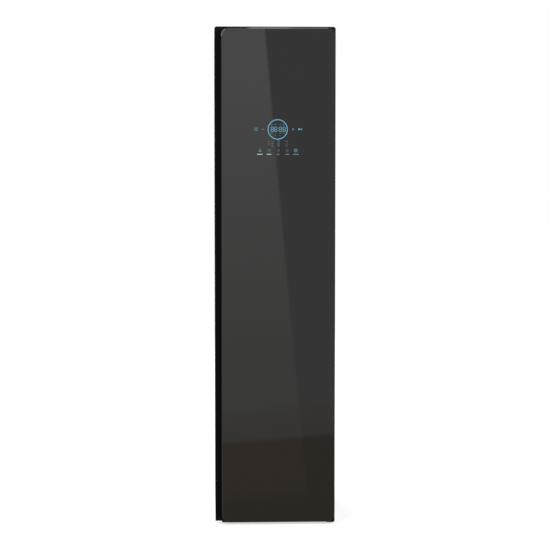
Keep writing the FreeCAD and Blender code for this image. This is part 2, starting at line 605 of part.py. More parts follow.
def steam_nozzle():
    """The round steam outlet in the floor: a slotted grille on a cup, with a pipe stub under it."""
    x, y, z1, grille = NOZZLE_X, NOZZLE_Y, CHAMBER_Z0, 3.0
    cup_z = z1 - NOZZLE_CUP
    flange = rod(NOZZLE_R + 6, (x, y, z1), (0, 0, grille))
    flange = flange.makeFillet(1.4, edges_where(flange, lambda p: p.z > z1 + grille - 0.1))
    nozzle = fused([flange, rod(NOZZLE_R, (x, y, cup_z), (0, 0, NOZZLE_CUP)),
                    rod(8, (x, y, cup_z - NOZZLE_STUB), (0, 0, NOZZLE_STUB))])
    hollow = rod(NOZZLE_R - NOZZLE_WALL, (x, y, cup_z + NOZZLE_WALL), (0, 0, NOZZLE_CUP - NOZZLE_WALL))
    bore = rod(5.5, (x, y, cup_z - NOZZLE_STUB - 1), (0, 0, NOZZLE_STUB + 9))
    slots = [box(x - 17 + 7 * i, x - 14 + 7 * i, y - 14, y + 14, z1 - 1, z1 + grille + 1) for i in range(5)]
    return nozzle.cut(hollow).cut(bore).cut(Part.makeCompound(slots))


PUMP_X, PUMP_Y, PUMP_UP = -60.0, 20.0, 26.0
PUMP_HALF, PUMP_REACH = 44.0, 56.0     # half length of the barrel, and of barrel and barbs


def water_pump():
    """A small solenoid pump on a foot plate, with a barb at each end."""
    z0 = CASE_Z0 + TRAY
    z = z0 + PUMP_UP
    foot = slab_z(PUMP_X - 26, PUMP_X + 26, PUMP_Y - 45, PUMP_Y + 45, z0, z0 + 3, 5)
    coil = slab_z(PUMP_X - 20, PUMP_X + 20, PUMP_Y - 22, PUMP_Y + 26, z0 + 3, z0 + 48, 6)
    barrel = rod(11, (PUMP_X, PUMP_Y - PUMP_HALF, z), (0, 2 * PUMP_HALF, 0))
    barbs = rod(5, (PUMP_X, PUMP_Y - PUMP_REACH, z), (0, 2 * PUMP_REACH, 0))
    return fused([foot, coil, barrel, barbs])


def hoses():
    """Water hoses from the fresh tank to the pump and the boiler, the drain hose, and the steam hose."""
    floor, r_out, r_in = CASE_Z0 + TRAY, 6.0, 4.0
    well, tap_y, pump_z = TANK_Z0 - WELL_WALL, TANK_Y + TAP_Y, floor + PUMP_UP
    intake = (STEAM_X + INTAKE_X, STEAM_Y + INTAKE_Y, floor + INTAKE_UP)
    feed = tube([(-TANK_X, tap_y, well), (-TANK_X, tap_y, floor + 60), (PUMP_X, tap_y + 4, pump_z),
                 (PUMP_X, PUMP_Y - PUMP_REACH, pump_z)], 20, r_out, r_in)
    boiler = tube([(PUMP_X, PUMP_Y + PUMP_REACH, pump_z), (PUMP_X, PUMP_Y + 90, pump_z),
                   (intake[0], intake[1] - 47, intake[2]), intake], 16, r_out, r_in)
    drain = tube([(TANK_X, tap_y, well), (TANK_X, tap_y, floor + 70), (10, -20, floor + 90),
                  (10, 30, floor + 130), (10, 30, DUCT_Z0)], 20, r_out, r_in)
    spout_x, stub_z = STEAM_X + SPOUT_X, CHAMBER_Z0 - NOZZLE_CUP - NOZZLE_STUB
    steam = tube([(spout_x, STEAM_Y, floor + SPOUT_TOP), (spout_x, STEAM_Y, floor + 190),
                  (NOZZLE_X, NOZZLE_Y, floor + 260), (NOZZLE_X, NOZZLE_Y, stub_z)], 30, 8, r_out)
    return [feed, boiler, drain, steam]


HARNESS_X, HARNESS_Y = -211.0, 270.0
HARNESS_R, LEAD_R = 4.0, 2.5
CONTROL_X, CONTROL_Y = (-170.0, -10.0), (95.0, 200.0)
CONTROL_H, CONTROL_RIBS, CONTROL_PITCH = 52.0, 8, 20.0


def wiring():
    """The main harness down the rear corner to the inlet, the drive motor's lead and the lamp's lead."""
    deck, left = CHAMBER_Z1 + LINER, CONTROL_X[0]
    z = deck + 16
    main = tube([(left, 150, z), (HARNESS_X, 150, z), (HARNESS_X, HARNESS_Y, z),
                 (HARNESS_X, HARNESS_Y, INLET_Z), (INLET_X - INLET_W / 2, HARNESS_Y, INLET_Z)], 14, HARNESS_R)
    motor_x, motor_z = -60.0, MOTOR_Z + MOTOR_GEARBOX / 2
    motor = tube([(motor_x, CONTROL_Y[0], z + 12), (motor_x, PINION_Y, z + 12), (motor_x, PINION_Y, motor_z),
                  (-MOTOR_R, PINION_Y, motor_z)], 10, LEAD_R)
    lamp_x, lamp_z = left - 12, deck + 3
    light = tube([(left, 120, z), (lamp_x, 120, z), (lamp_x, LAMP_Y, z), (lamp_x, LAMP_Y, lamp_z),
                  (-LAMP_HALF - 8, LAMP_Y, lamp_z)], 5, LEAD_R)
    return [main, motor, light]


def control_box():
    """The power and control electronics, in a ribbed case above the chamber."""
    z0 = CHAMBER_Z1 + LINER
    z1 = z0 + CONTROL_H
    case = slab_z(*CONTROL_X, *CONTROL_Y, z0, z1, 6)
    case = case.makeFillet(3, edges_where(case, lambda p: p.z > z1 - 1))
    ribs = []
    for i in range(CONTROL_RIBS):
        x = CONTROL_X[0] + CONTROL_PITCH * (i + 0.5)
        ribs.append(box(x, x + 4, CONTROL_Y[0] + 10, CONTROL_Y[1] - 10, z1 - 1, z1 + 3))
    return fused([case] + ribs)


SOCKET_HALF_W, SOCKET_HALF_H, SOCKET_DEEP = 13.0, 9.0, 20.0
PIN_X, PIN_RISE = 7.0, 2.0


def power_inlet():
    """The mains inlet: a flanged socket with three pins, for a plug-in lead."""
    x0, z0, y1 = INLET_X, INLET_Z, BACK_OUT
    flange = slab_y(x0 - 30, x0 + 30, z0 - 20, z0 + 20, BACK_IN - 2, BACK_IN, 5)
    half_w, half_h = INLET_W / 2, INLET_H / 2
    body = slab_y(x0 - half_w, x0 + half_w, z0 - half_h, z0 + half_h, y1 - 28, y1, INLET_CORNER)
    socket = slab_y(x0 - SOCKET_HALF_W, x0 + SOCKET_HALF_W, z0 - SOCKET_HALF_H, z0 + SOCKET_HALF_H,
                    y1 - SOCKET_DEEP, y1 + 1, 3)
    pins = []
    for x, z in ((-PIN_X, -PIN_RISE), (0.0, PIN_RISE), (PIN_X, -PIN_RISE)):
        pins.append(box(x0 + x - 1, x0 + x + 1, y1 - SOCKET_DEEP - 1, y1 - 4, z0 + z - 2.5, z0 + z + 2.5))
    return fused([body.fuse(flange).cut(socket)] + pins)


def machinery():
    save("air_ducts", exchanger_duct(), riser_duct())
    save("evaporator", exchanger(-170, -135, 2))
    save("condenser", exchanger(-75, -20, 3))
    save("fan_housing", fan_housing())
    save("fan_motor", fan_motor())
    save("fan_impeller", fan_impeller())
    save("compressor", compressor())
    save("refrigerant_pipes", *refrigerant_pipes())
    save("steam_generator", steam_generator())
    save("steam_nozzle", steam_nozzle())
    save("water_pump", water_pump())
    save("hoses", *hoses())
    save("control_box", control_box())
    save("wiring_harness", *wiring())
    save("power_inlet", power_inlet())


# ---------------------------------------------------------------- feet and fasteners
def front_foot(side):
    """A levelling foot: a round pad, a spanner hexagon that meets the tray, and a stem."""
    x, y = side * FOOT_X, FOOT_Y_FRONT
    pad = rod(FOOT_R, (x, y, 0), (0, 0, FOOT_PAD))
    pad = pad.makeFillet(2.5, edges_where(pad, lambda p: p.z > FOOT_PAD - 0.1))
    turns = [math.radians(60 * i) for i in range(6)]
    corners = [(x + FOOT_BOSS_R * math.cos(a), y + FOOT_BOSS_R * math.sin(a)) for a in turns]
    nut = prism(corners, FOOT_PAD, CASE_Z0 - FOOT_PAD)
    return fused([pad, nut, rod(FOOT_STEM_R, (x, y, FOOT_PAD), (0, 0, 55))])


def rear_foot(side):
    """A fixed rear pad with a rivet through the tray."""
    x, y = side * FOOT_X, FOOT_Y_REAR
    half_x, half_y = REAR_PAD
    pad = slab_z(x - half_x, x + half_x, y - half_y, y + half_y, 0, CASE_Z0, 8)
    pad = pad.makeFillet(2, edges_where(pad, lambda p: p.z < 0.1))
    rivet = rod(RIVET_R, (x, y, CASE_Z0), (0, 0, TRAY))
    return fused([pad, rivet, rod(7, (x, y, CASE_Z0 + TRAY), (0, 0, 2))])


HINGE_PLATE = 4.0
LEAF_GAP = 1.5                 # leaf to the door's end
PIN_IN = 12.0                  # how far a pin reaches into the door
SINK_R, SINK = 4.6, 2.1        # countersunk head


def pan_screw(x, z):
    """A pan head screw in the back panel, with a cross recess."""
    head = rod(4.5, (x, BACK_OUT, z), (0, SCREW_HEAD, 0))
    head = head.makeFillet(1.2, edges_where(head, lambda p: p.y > Y_BACK - 0.1))
    shank = rod(SCREW_R, (x, BACK_OUT, z), (0, -9, 0))
    long, short, y0, y1 = 2.0, 0.4, Y_BACK - 0.7, Y_BACK + 1
    cross = [box(x - a, x + a, y0, y1, z - b, z + b) for a, b in ((long, short), (short, long))]
    return head.fuse(shank).removeSplitter().cut(Part.makeCompound(cross))


def countersink(z):
    """The cone of a hinge screw's head."""
    return Part.makeCone(SINK_R, SCREW_R, SINK, V(HINGE_SCREW_X, CASE_FRONT - HINGE_PLATE, z), V(0, 1, 0))


def screws():
    """The back panel's pan heads and the hinges' countersunk screws."""
    found = [pan_screw(side * BACK_SCREW_X, z) for side in (-1, 1) for z in BACK_SCREW_Z]
    for z in HINGE_SCREW_Z:
        shank = rod(SCREW_R, (HINGE_SCREW_X, CASE_FRONT - HINGE_PLATE + SINK, z), (0, 13, 0))
        found.append(countersink(z).fuse(shank).removeSplitter())
    return found


def hinge_bracket(top):
    """An L bracket: a flange on the casing's front and a leaf with a pin that holds the door's end."""
    leaf_z = DOOR_Z1 + LEAF_GAP if top else DOOR_Z0 - LEAF_GAP - HINGE_PLATE
    y1 = CASE_FRONT
    y0 = y1 - HINGE_PLATE
    z0, z1 = (HINGE_SCREW_Z[2] - 14, leaf_z + HINGE_PLATE) if top else (leaf_z, HINGE_SCREW_Z[1] + 14)
    flange = box(206, 220, y0, y1, z0, z1)
    leaf = slab_z(191, 220, HINGE_Y - 13, y1, leaf_z, leaf_z + HINGE_PLATE, 6)
    pin_z = DOOR_Z1 - PIN_IN if top else leaf_z + HINGE_PLATE
    bracket = fused([flange, leaf, rod(HINGE_PIN_R, (HINGE_X, HINGE_Y, pin_z), (0, 0, PIN_IN + LEAF_GAP))])
    for z in HINGE_SCREW_Z[2:] if top else HINGE_SCREW_Z[:2]:
        bracket = bracket.cut(countersink(z))
        bracket = bracket.cut(rod(SCREW_R, (HINGE_SCREW_X, y0 - 1, z), (0, HINGE_PLATE + 4, 0)))
    return bracket


def feet_and_fasteners():
    save("foot_left", front_foot(-1))
    save("foot_right", front_foot(1))
    save("rear_feet", rear_foot(-1), rear_foot(1))
    save("case_screws", *screws())
    save("hinge_brackets", hinge_bracket(True), hinge_bracket(False))


# ---------------------------------------------------------------- door
END_CAP = 14.0
LIP_X = GLASS_X0 + 0.6                 # the glass overhangs its profile slightly
LIP_THICK = 6.5
GRIP_Y = (GLASS_BACK + LIP_THICK, -262.0)
GRIP_X = -184.0                        # bottom of the grip channel
PROFILE_X = -174.0                     # inner side of the left profile
RIGHT_X = 207.0                        # inner side of the right profile
DOOR_CHAMFER = 8.0
PANEL = 2.0
GLASS_BEVEL, BEVEL_DEEP = 3.0, 1.0
BUSH_R, BUSH_FLANGE = 7.0, 1.3
TRAY_HALF, TRAY_Z, TRAY_DEEP = 165.0, (425.0, 1690.0), 14.0
DISPLAY_X, DISPLAY_Z = 11.5, 1457.0
DISPLAY_HALF_W, DISPLAY_HALF_H, DISPLAY_DEEP, LIGHT_BOX = 80.0, 62.0, 16.0, 10.0
GASKET_HALF, GASKET_Z, GASKET_W = 203.0, (375.0, 1740.0), 13.0
PANEL_Y = DOOR_BACK - PANEL


def door_glass():
    """The front pane: dark mirrored glass with round corners and a flat bevel round its face."""
    def rim(inset, y):
        return rounded_face(GLASS_X0 + inset, GLASS_X1 - inset, DOOR_Z0 + inset, DOOR_Z1 - inset,
                            GLASS_CORNER - inset, lambda u, v: V(u, y, v)).OuterWire

    shoulder = Y_FRONT + BEVEL_DEEP
    pane = slab_y(GLASS_X0, GLASS_X1, DOOR_Z0, DOOR_Z1, shoulder, GLASS_BACK, GLASS_CORNER)
    face = Part.makeLoft([rim(0.0, shoulder), rim(GLASS_BEVEL, Y_FRONT)], True, True)
    return pane.fuse(face).removeSplitter()


def door_profile_left():
    """The handle profile: a lip behind the glass, a grip channel and a wide rear strip."""
    z0, z1 = DOOR_Z0 + END_CAP, DOOR_Z1 - END_CAP
    outline = [(LIP_X, GLASS_BACK), (PROFILE_X, GLASS_BACK), (PROFILE_X, PANEL_Y),
               (-HALF_W + DOOR_CHAMFER, PANEL_Y), (-HALF_W, PANEL_Y - DOOR_CHAMFER), (-HALF_W, GRIP_Y[1]),
               (GRIP_X + 5, GRIP_Y[1]), (GRIP_X, GRIP_Y[1] - 5), (GRIP_X, GRIP_Y[0] + 5),
               (GRIP_X - 4, GRIP_Y[0]), (LIP_X, GRIP_Y[0])]
    profile = prism(outline, z0, z1 - z0)
    soft = edges_where(profile, lambda p: abs(p.x - LIP_X) < 0.1 or (p.x < -HALF_W + 0.1 and p.y < -260))
    profile = profile.makeFillet(1.5, [e for e in soft if e.Length > 100])
    hollow = box(-HALF_W + 3, GRIP_X + 6, GRIP_Y[1] + 3, PANEL_Y - 9, z0 - 1, z1 + 1)
    return profile.cut(hollow)


def door_profile_right():
    """The hinge side's profile, chamfered where it swings past the casing."""
    z0, z1 = DOOR_Z0 + END_CAP, DOOR_Z1 - END_CAP
    outline = [(RIGHT_X, GLASS_BACK), (GLASS_X1 - 0.3, GLASS_BACK), (HALF_W - 0.3, GLASS_BACK + 1),
               (HALF_W, PANEL_Y - DOOR_CHAMFER), (HALF_W - DOOR_CHAMFER, PANEL_Y), (RIGHT_X, PANEL_Y)]
    profile = prism(outline, z0, z1 - z0)
    return profile.cut(box(RIGHT_X + 3, HALF_W - 4, GLASS_BACK + 4, PANEL_Y - 11, z0 - 1, z1 + 1))


def end_cap(top):
    """A moulded cap that closes one end of the door and holds a hinge bush."""
    z0 = DOOR_Z1 - END_CAP if top else DOOR_Z0
    outline = [(LIP_X, GLASS_BACK), (GLASS_X1 - 0.3, GLASS_BACK), (HALF_W - 0.3, GLASS_BACK + 1),
               (HALF_W, DOOR_BACK - DOOR_CHAMFER - PANEL), (HALF_W - DOOR_CHAMFER, PANEL_Y),
               (HALF_W - DOOR_CHAMFER, DOOR_BACK), (-HALF_W + DOOR_CHAMFER, DOOR_BACK),
               (-HALF_W + DOOR_CHAMFER, PANEL_Y), (-HALF_W, PANEL_Y - DOOR_CHAMFER), (-HALF_W, GRIP_Y[1]),
               (LIP_X, GRIP_Y[1])]
    cap = prism(outline, z0, END_CAP)
    outer = z0 + END_CAP if top else z0
    rim = [e for e in cap.Edges if all(abs(v.Z - outer) < 0.01 for v in e.Vertexes)
           and all(v.Y > GLASS_BACK + 0.5 for v in e.Vertexes)]
    cap = cap.makeFillet(1.2, rim)
    return cap.cut(rod(BUSH_R, (HINGE_X, HINGE_Y, z0 - 1), (0, 0, END_CAP + 2)))


def hinge_bush(top):
    """A plastic bush in an end cap; the lower one has a flange that the door stands on."""
    z0 = DOOR_Z1 - END_CAP if top else DOOR_Z0
    bush = rod(BUSH_R, (HINGE_X, HINGE_Y, z0), (0, 0, END_CAP))
    if not top:
        bush = bush.fuse(rod(BUSH_R + 2, (HINGE_X, HINGE_Y, z0 - BUSH_FLANGE), (0, 0, BUSH_FLANGE)))
    bore = rod(HINGE_PIN_R + RUNNING, (HINGE_X, HINGE_Y, z0 - 5), (0, 0, END_CAP + 10))
    return bush.cut(bore).removeSplitter()


def panel_tray(grow):
    """The dished middle of the inner panel, grown outwards by the panel's thickness."""
    return slab_y(-TRAY_HALF - grow, TRAY_HALF + grow, TRAY_Z[0] - grow, TRAY_Z[1] + grow,
                  DOOR_BACK - TRAY_DEEP - grow, DOOR_BACK, 24 + grow)


def door_inner_panel():
    """The formed panel on the door's chamber side."""
    z0, z1 = DOOR_Z0 + END_CAP, DOOR_Z1 - END_CAP
    flat = box(-HALF_W + DOOR_CHAMFER, HALF_W - DOOR_CHAMFER, PANEL_Y, DOOR_BACK, z0, z1)
    return flat.fuse(panel_tray(PANEL)).cut(panel_tray(0)).removeSplitter()


def display_module():
    """The light box of the display, with its circuit board behind it."""
    def slab(inset, y0, y1, corner):
        half_w, half_h = DISPLAY_HALF_W - inset, DISPLAY_HALF_H - inset
        return slab_y(DISPLAY_X - half_w, DISPLAY_X + half_w, DISPLAY_Z - half_h, DISPLAY_Z + half_h, y0, y1,
                      corner)

    board_y = GLASS_BACK + LIGHT_BOX
    return [slab(0, GLASS_BACK, board_y, 6), slab(4, board_y, board_y + 1.6, 3)]


def door_foam():
    """The foam core, shaped round the inner panel's dish and the display module."""
    core = box(PROFILE_X, RIGHT_X, GLASS_BACK, PANEL_Y, DOOR_Z0 + END_CAP, DOOR_Z1 - END_CAP)
    pocket = box(DISPLAY_X - DISPLAY_HALF_W - 1, DISPLAY_X + DISPLAY_HALF_W + 1, GLASS_BACK - 1,
                 GLASS_BACK + DISPLAY_DEEP, DISPLAY_Z - DISPLAY_HALF_H - 1, DISPLAY_Z + DISPLAY_HALF_H + 1)
    return core.cut(panel_tray(PANEL)).cut(pocket)


def door_gasket():
    """The magnetic seal: a base in the panel and a round bulb that meets the casing."""
    def loop(inset, width, y0, y1, r):
        a, z0, z1 = GASKET_HALF - inset, GASKET_Z[0] + inset, GASKET_Z[1] - inset
        outer = slab_y(-a, a, z0, z1, y0, y1, r)
        return outer.cut(slab_y(-a + width, a - width, z0 + width, z1 - width, y0 - 1, y1 + 1,
                                max(r - width, 1)))

    base = loop(0, GASKET_W, DOOR_BACK, DOOR_BACK + 2.5, 14)
    neck = loop(3, GASKET_W - 6, DOOR_BACK + 2.5, DOOR_BACK + 4, 11)
    bulb = loop(1.5, GASKET_W - 3, DOOR_BACK + 4, CASE_FRONT - 0.3, 12.5)
    return fused([base, neck, bulb])


def door():
    save("door_glass", door_glass())
    save("door_profiles", door_profile_left(), door_profile_right())
    save("door_end_caps", end_cap(True), end_cap(False))
    save("hinge_bushes", hinge_bush(True), hinge_bush(False))
    save("door_inner_panel", door_inner_panel())
    save("door_foam", door_foam())
    save("door_gasket", door_gasket())
    save("display_module", *display_module())


# ---------------------------------------------------------------- moving hanger
PLATE_Z = CHAMBER_Z1 + LINER + 3
PLATE = 2.0
ROD_R, ROD_Y, ROD_Z, ROD_HALF = 4.0, 40.0, 1745.0, 150.0
MODULE, TEETH, PINION_SHAFT_R = 1.5, 20, 3.0
PITCH_R = MODULE * TEETH / 2
BACKLASH = 0.12
RACK_ROOT_Y = HANG_Y + ROD_Y + 11
PINION_Y = RACK_ROOT_Y + 1.25 * MODULE + PITCH_R + 0.05
PINION_Z = (1741.0, 1751.0)
RACK_Z, RACK_H = ROD_Z - 5, 12.0
BAR_R, GROOVE_R, BAR_HALF = 11.0, 9.0, 150.0
MOTOR_R, MOTOR_Z, MOTOR_GEARBOX, MOTOR_CAN_H = 21.0, 1760.0, 24.0, 34.0
BRIDGE_HALF, BRIDGE_Z, BRIDGE = 26.0, 1757.0, 3.0
BLOCK_HALF_X, BLOCK_HALF_Y = 8.0, 11.0
DRIVE_HALF, DRIVE_FRONT, DRIVE_REAR = 165.0, HANG_Y - 90.0, HANG_Y + 100.0
MOTOR_HUB_R = 5.0                      # hole in the bridge for the pinion's shaft
BEAM_HALF, BEAM, RACK_HALF = 100.0, 9.0, 42.0
HANGER_WIRE, HANGER_THICK, HANGER_SPAN = 2.6, 12.0, 180.0


def drive_plate():
    """The folded plate that carries the guide rods, with the bridge that holds the motor."""
    plate = slab_z(-DRIVE_HALF, DRIVE_HALF, DRIVE_FRONT, DRIVE_REAR, PLATE_Z, PLATE_Z + PLATE, 8)
    for side in (-1, 1):
        plate = plate.cut(arm_slot(side, PLATE_Z - 1, PLATE_Z + PLATE + 1))
    rear = DRIVE_REAR - 2
    bridge = box(-BRIDGE_HALF, BRIDGE_HALF, PINION_Y - 24, rear, BRIDGE_Z, BRIDGE_Z + BRIDGE)
    leg = box(-BRIDGE_HALF, BRIDGE_HALF, rear - BRIDGE, rear, PLATE_Z + PLATE, BRIDGE_Z)
    bridge = bridge.cut(rod(MOTOR_HUB_R, (0, PINION_Y, BRIDGE_Z - 1), (0, 0, BRIDGE + 2)))
    return fused([plate, bridge, leg])


def guide_rods():
    """Two ground rods in four end blocks."""
    found = []
    for y in (HANG_Y - ROD_Y, HANG_Y + ROD_Y):
        found.append(rod(ROD_R, (-ROD_HALF, y, ROD_Z), (2 * ROD_HALF, 0, 0)))
        for side in (-1, 1):
            x = side * (ROD_HALF - 6)
            block = slab_z(x - BLOCK_HALF_X, x + BLOCK_HALF_X, y - BLOCK_HALF_Y, y + BLOCK_HALF_Y,
                           PLATE_Z + PLATE, ROD_Z + BLOCK_HALF_Y, 3)
            found.append(block.cut(rod(ROD_R, (x - 9, y, ROD_Z), (18, 0, 0))))
    return found


def hanger_carriage():
    """The carriage: two bored beams, two cross members with the hanger arms, and the rack."""
    parts = []
    for y in (HANG_Y - ROD_Y, HANG_Y + ROD_Y):
        parts.append(box(-BEAM_HALF, BEAM_HALF, y - BEAM, y + BEAM, ROD_Z - BEAM, ROD_Z + BEAM))
    for side in (-1, 1):
        x = side * ARM_X
        parts.append(box(x - 12, x + 12, HANG_Y - ROD_Y, HANG_Y + ROD_Y, ROD_Z - 7, ROD_Z + 7))
        parts.append(slab_z(x - ARM_W / 2, x + ARM_W / 2, HANG_Y - ARM_D / 2, HANG_Y + ARM_D / 2,
                            HANG_Z + 9, ROD_Z, 4))
    parts.append(box(-RACK_HALF, RACK_HALF, RACK_ROOT_Y - 3, RACK_ROOT_Y, RACK_Z, RACK_Z + RACK_H))
    body = fused(parts)
    for y in (HANG_Y - ROD_Y, HANG_Y + ROD_Y):
        body = body.cut(rod(ROD_R + RUNNING, (-BEAM_HALF - 1, y, ROD_Z), (2 * BEAM_HALF + 2, 0, 0)))
    body = body.cut(rod(BAR_R, (-BAR_HALF, HANG_Y, HANG_Z), (2 * BAR_HALF, 0, 0)))
    return fused([body] + rack_teeth())


def rack_teeth():
    """Straight rack teeth along X, one of them centred on X = 0."""
    pitch = math.pi * MODULE
    tip = 2.25 * MODULE
    slope = math.tan(math.radians(20))
    at_pitch = pitch / 4 - BACKLASH / 4
    wide = at_pitch + 1.25 * MODULE * slope
    narrow = at_pitch - MODULE * slope
    count = int((RACK_HALF - wide) // pitch)
    teeth = []
    for i in range(-count, count + 1):
        x = i * pitch
        outline = [(x - wide, RACK_ROOT_Y - 0.5), (x + wide, RACK_ROOT_Y - 0.5), (x + wide, RACK_ROOT_Y),
                   (x + narrow, RACK_ROOT_Y + tip), (x - narrow, RACK_ROOT_Y + tip), (x - wide, RACK_ROOT_Y)]
        teeth.append(prism(outline, RACK_Z, RACK_H))
    return teeth


def involute(angle):
    """The involute function of a pressure angle."""
    return math.tan(angle) - angle


def drive_pinion():
    """An involute spur pinion on its shaft. A gap faces the rack's middle tooth."""
    base_r = PITCH_R * math.cos(math.radians(20))
    tip_r, root_r = PITCH_R + MODULE, PITCH_R - 1.25 * MODULE
    half_at_pitch = math.pi / (2 * TEETH) - BACKLASH / (4 * PITCH_R) + involute(math.radians(20))
    z0, z1 = PINION_Z
    steps = 5

    def place(r, angle):
        return V(r * math.sin(angle), PINION_Y + r * math.cos(angle), z0)

    parts = [rod(root_r, (0, PINION_Y, z0), (0, 0, z1 - z0))]
    for i in range(TEETH):
        middle = 2 * math.pi * (i + 0.5) / TEETH
        flank = []
        for k in range(steps + 1):
            r = base_r + (tip_r - base_r) * k / steps
            flank.append((r, half_at_pitch - involute(math.acos(base_r / r))))
        left = [place(r, middle - a) for r, a in flank]
        right = [place(r, middle + a) for r, a in flank]
        foot = [place(root_r - 0.5, middle - flank[0][1]), place(root_r - 0.5, middle + flank[0][1])]
        corners = [foot[0]] + left + right[::-1] + [foot[1], foot[0]]
        parts.append(Part.Face(Part.makePolygon(corners)).extrude(V(0, 0, z1 - z0)))
    gear = fused(parts)
    shaft = rod(PINION_SHAFT_R, (0, PINION_Y, z0 - 3), (0, 0, 36))
    return fused([gear, shaft, rod(7, (0, PINION_Y, z0 - 3), (0, 0, 3))])


def drive_motor():
    """A small gearmotor standing on the bridge, its gearbox wider than its can."""
    can_z = MOTOR_Z + MOTOR_GEARBOX
    top = can_z + MOTOR_CAN_H
    gearbox = rod(MOTOR_R, (0, PINION_Y, MOTOR_Z), (0, 0, MOTOR_GEARBOX))
    can = rod(17.5, (0, PINION_Y, can_z), (0, 0, MOTOR_CAN_H))
    can = can.makeFillet(3, edges_where(can, lambda p: p.z > top - 1))
    motor = fused([gearbox, can, rod(6, (0, PINION_Y, top), (0, 0, 3))])
    return motor.cut(rod(PINION_SHAFT_R + RUNNING, (0, PINION_Y, MOTOR_Z - 1), (0, 0, 17)))


def hanger_bar():
    """The bar across the chamber, with a groove for each hanger."""
    bar = rod(BAR_R, (-BAR_HALF, HANG_Y, HANG_Z), (2 * BAR_HALF, 0, 0))
    for x in HANG_X:
        bar = bar.cut(ring(BAR_R + 1, GROOVE_R, (x - 4.5, HANG_Y, HANG_Z), (9, 0, 0)))
    ends = edges_where(bar, lambda p: abs(abs(p.x) - BAR_HALF) < 0.1)
    return bar.makeFillet(3, ends)


def hanger(x):
    """A moulded hanger in the plane across X: a hook round the bar, shoulders and a trouser bar."""
    hook_r = GROOVE_R + 0.4 + HANGER_WIRE
    y, z, neck_z = HANG_Y, HANG_Z, HANG_Z - 46.0

    def at(angle, r=hook_r):
        return V(x, y + r * math.cos(math.radians(angle)), z + r * math.sin(math.radians(angle)))

    def along(angle):
        return V(0, -math.sin(math.radians(angle)), math.cos(math.radians(angle)))

    tip, end = 200, -40
    low = V(x, y, z - 27)
    back = Part.BSplineCurve()
    back.interpolate([at(end), low], Tangents=[along(end) * -16, V(0, 0, -14)], TangentFlags=[True, True])
    path = Part.Wire([Part.Arc(at(tip), at(80), at(end)).toShape(), back.toShape(),
                      Part.LineSegment(low, V(x, y, neck_z)).toShape()])
    circle = Part.Wire(Part.Circle(at(tip), along(tip), HANGER_WIRE).toShape())
    hook = path.makePipeShell([circle], True, True)

    span, shoulder = HANGER_SPAN, 70.0
    top = [V(x, y + side, z - drop) for side, drop in (
        (-span, 118), (-shoulder, 62), (0, z - neck_z - 4), (shoulder, 62), (span, 118))]
    under = [V(x, y + side, z - drop) for side, drop in (
        (span - 3, 134), (shoulder, 86), (0, z - neck_z + 20), (-shoulder, 86), (3 - span, 134))]
    upper, lower = Part.BSplineCurve(), Part.BSplineCurve()
    upper.interpolate(top)
    lower.interpolate(under)
    outline = Part.Wire([upper.toShape(), Part.LineSegment(top[-1], under[0]).toShape(), lower.toShape(),
                         Part.LineSegment(under[-1], top[0]).toShape()])
    yoke = Part.Face(outline).extrude(V(HANGER_THICK, 0, 0))
    yoke.translate(V(-HANGER_THICK / 2, 0, 0))
    yoke = yoke.makeFillet(3.5, [e for e in yoke.Edges if e.Length > 100])
    bar_z = z - 170.0
    bar = tube([(x, y - span + 9, z - 126), (x, y - span + 16, bar_z), (x, y + span - 16, bar_z),
                (x, y + span - 9, z - 126)], 14, 3.5)
    return fused([hook, Part.makeSphere(HANGER_WIRE + 0.15, at(tip)), yoke, bar])


def moving_hanger():
    save("drive_plate", drive_plate())
    save("guide_rods", *guide_rods())
    save("hanger_carriage", hanger_carriage())
    save("hanger_bar", hanger_bar())
    save("drive_pinion", drive_pinion())
    save("drive_motor", drive_motor())
    for name, x in zip(("left", "middle", "right"), HANG_X):
        save(f"hanger_{name}", hanger(x))


# ---------------------------------------------------------------- shelf, filter and water tanks
SHELF_HALF, SHELF_Y = 183.0, (-200.0, 195.0)
SHELF_RIM, SHELF_FLOOR, SHELF_WALL = 14.0, 4.0, 5.0
SHELF_SLOTS, SHELF_PITCH, SHELF_ROWS = 12, 26.0, (-180.0, -50.0, 80.0)


def shelf():
    """A lift-out shelf with a raised rim and rows of slots."""
    y0, y1 = SHELF_Y
    inner = SHELF_HALF - SHELF_WALL
    tray = slab_z(-SHELF_HALF, SHELF_HALF, y0, y1, SHELF_Z, SHELF_Z + SHELF_RIM, 12)
    tray = tray.cut(slab_z(-inner, inner, y0 + SHELF_WALL, y1 - SHELF_WALL, SHELF_Z + SHELF_FLOOR,
                           SHELF_Z + SHELF_RIM + 1, 8))
    slots = []
    for i in range(SHELF_SLOTS):
        x = SHELF_PITCH * (i - (SHELF_SLOTS - 1) / 2)
        for y in SHELF_ROWS:
            slots.append(slab_z(x - 5, x + 5, y, y + 95, SHELF_Z - 1, SHELF_Z + 5, 4.9))
    return tray.cut(Part.makeCompound(slots))


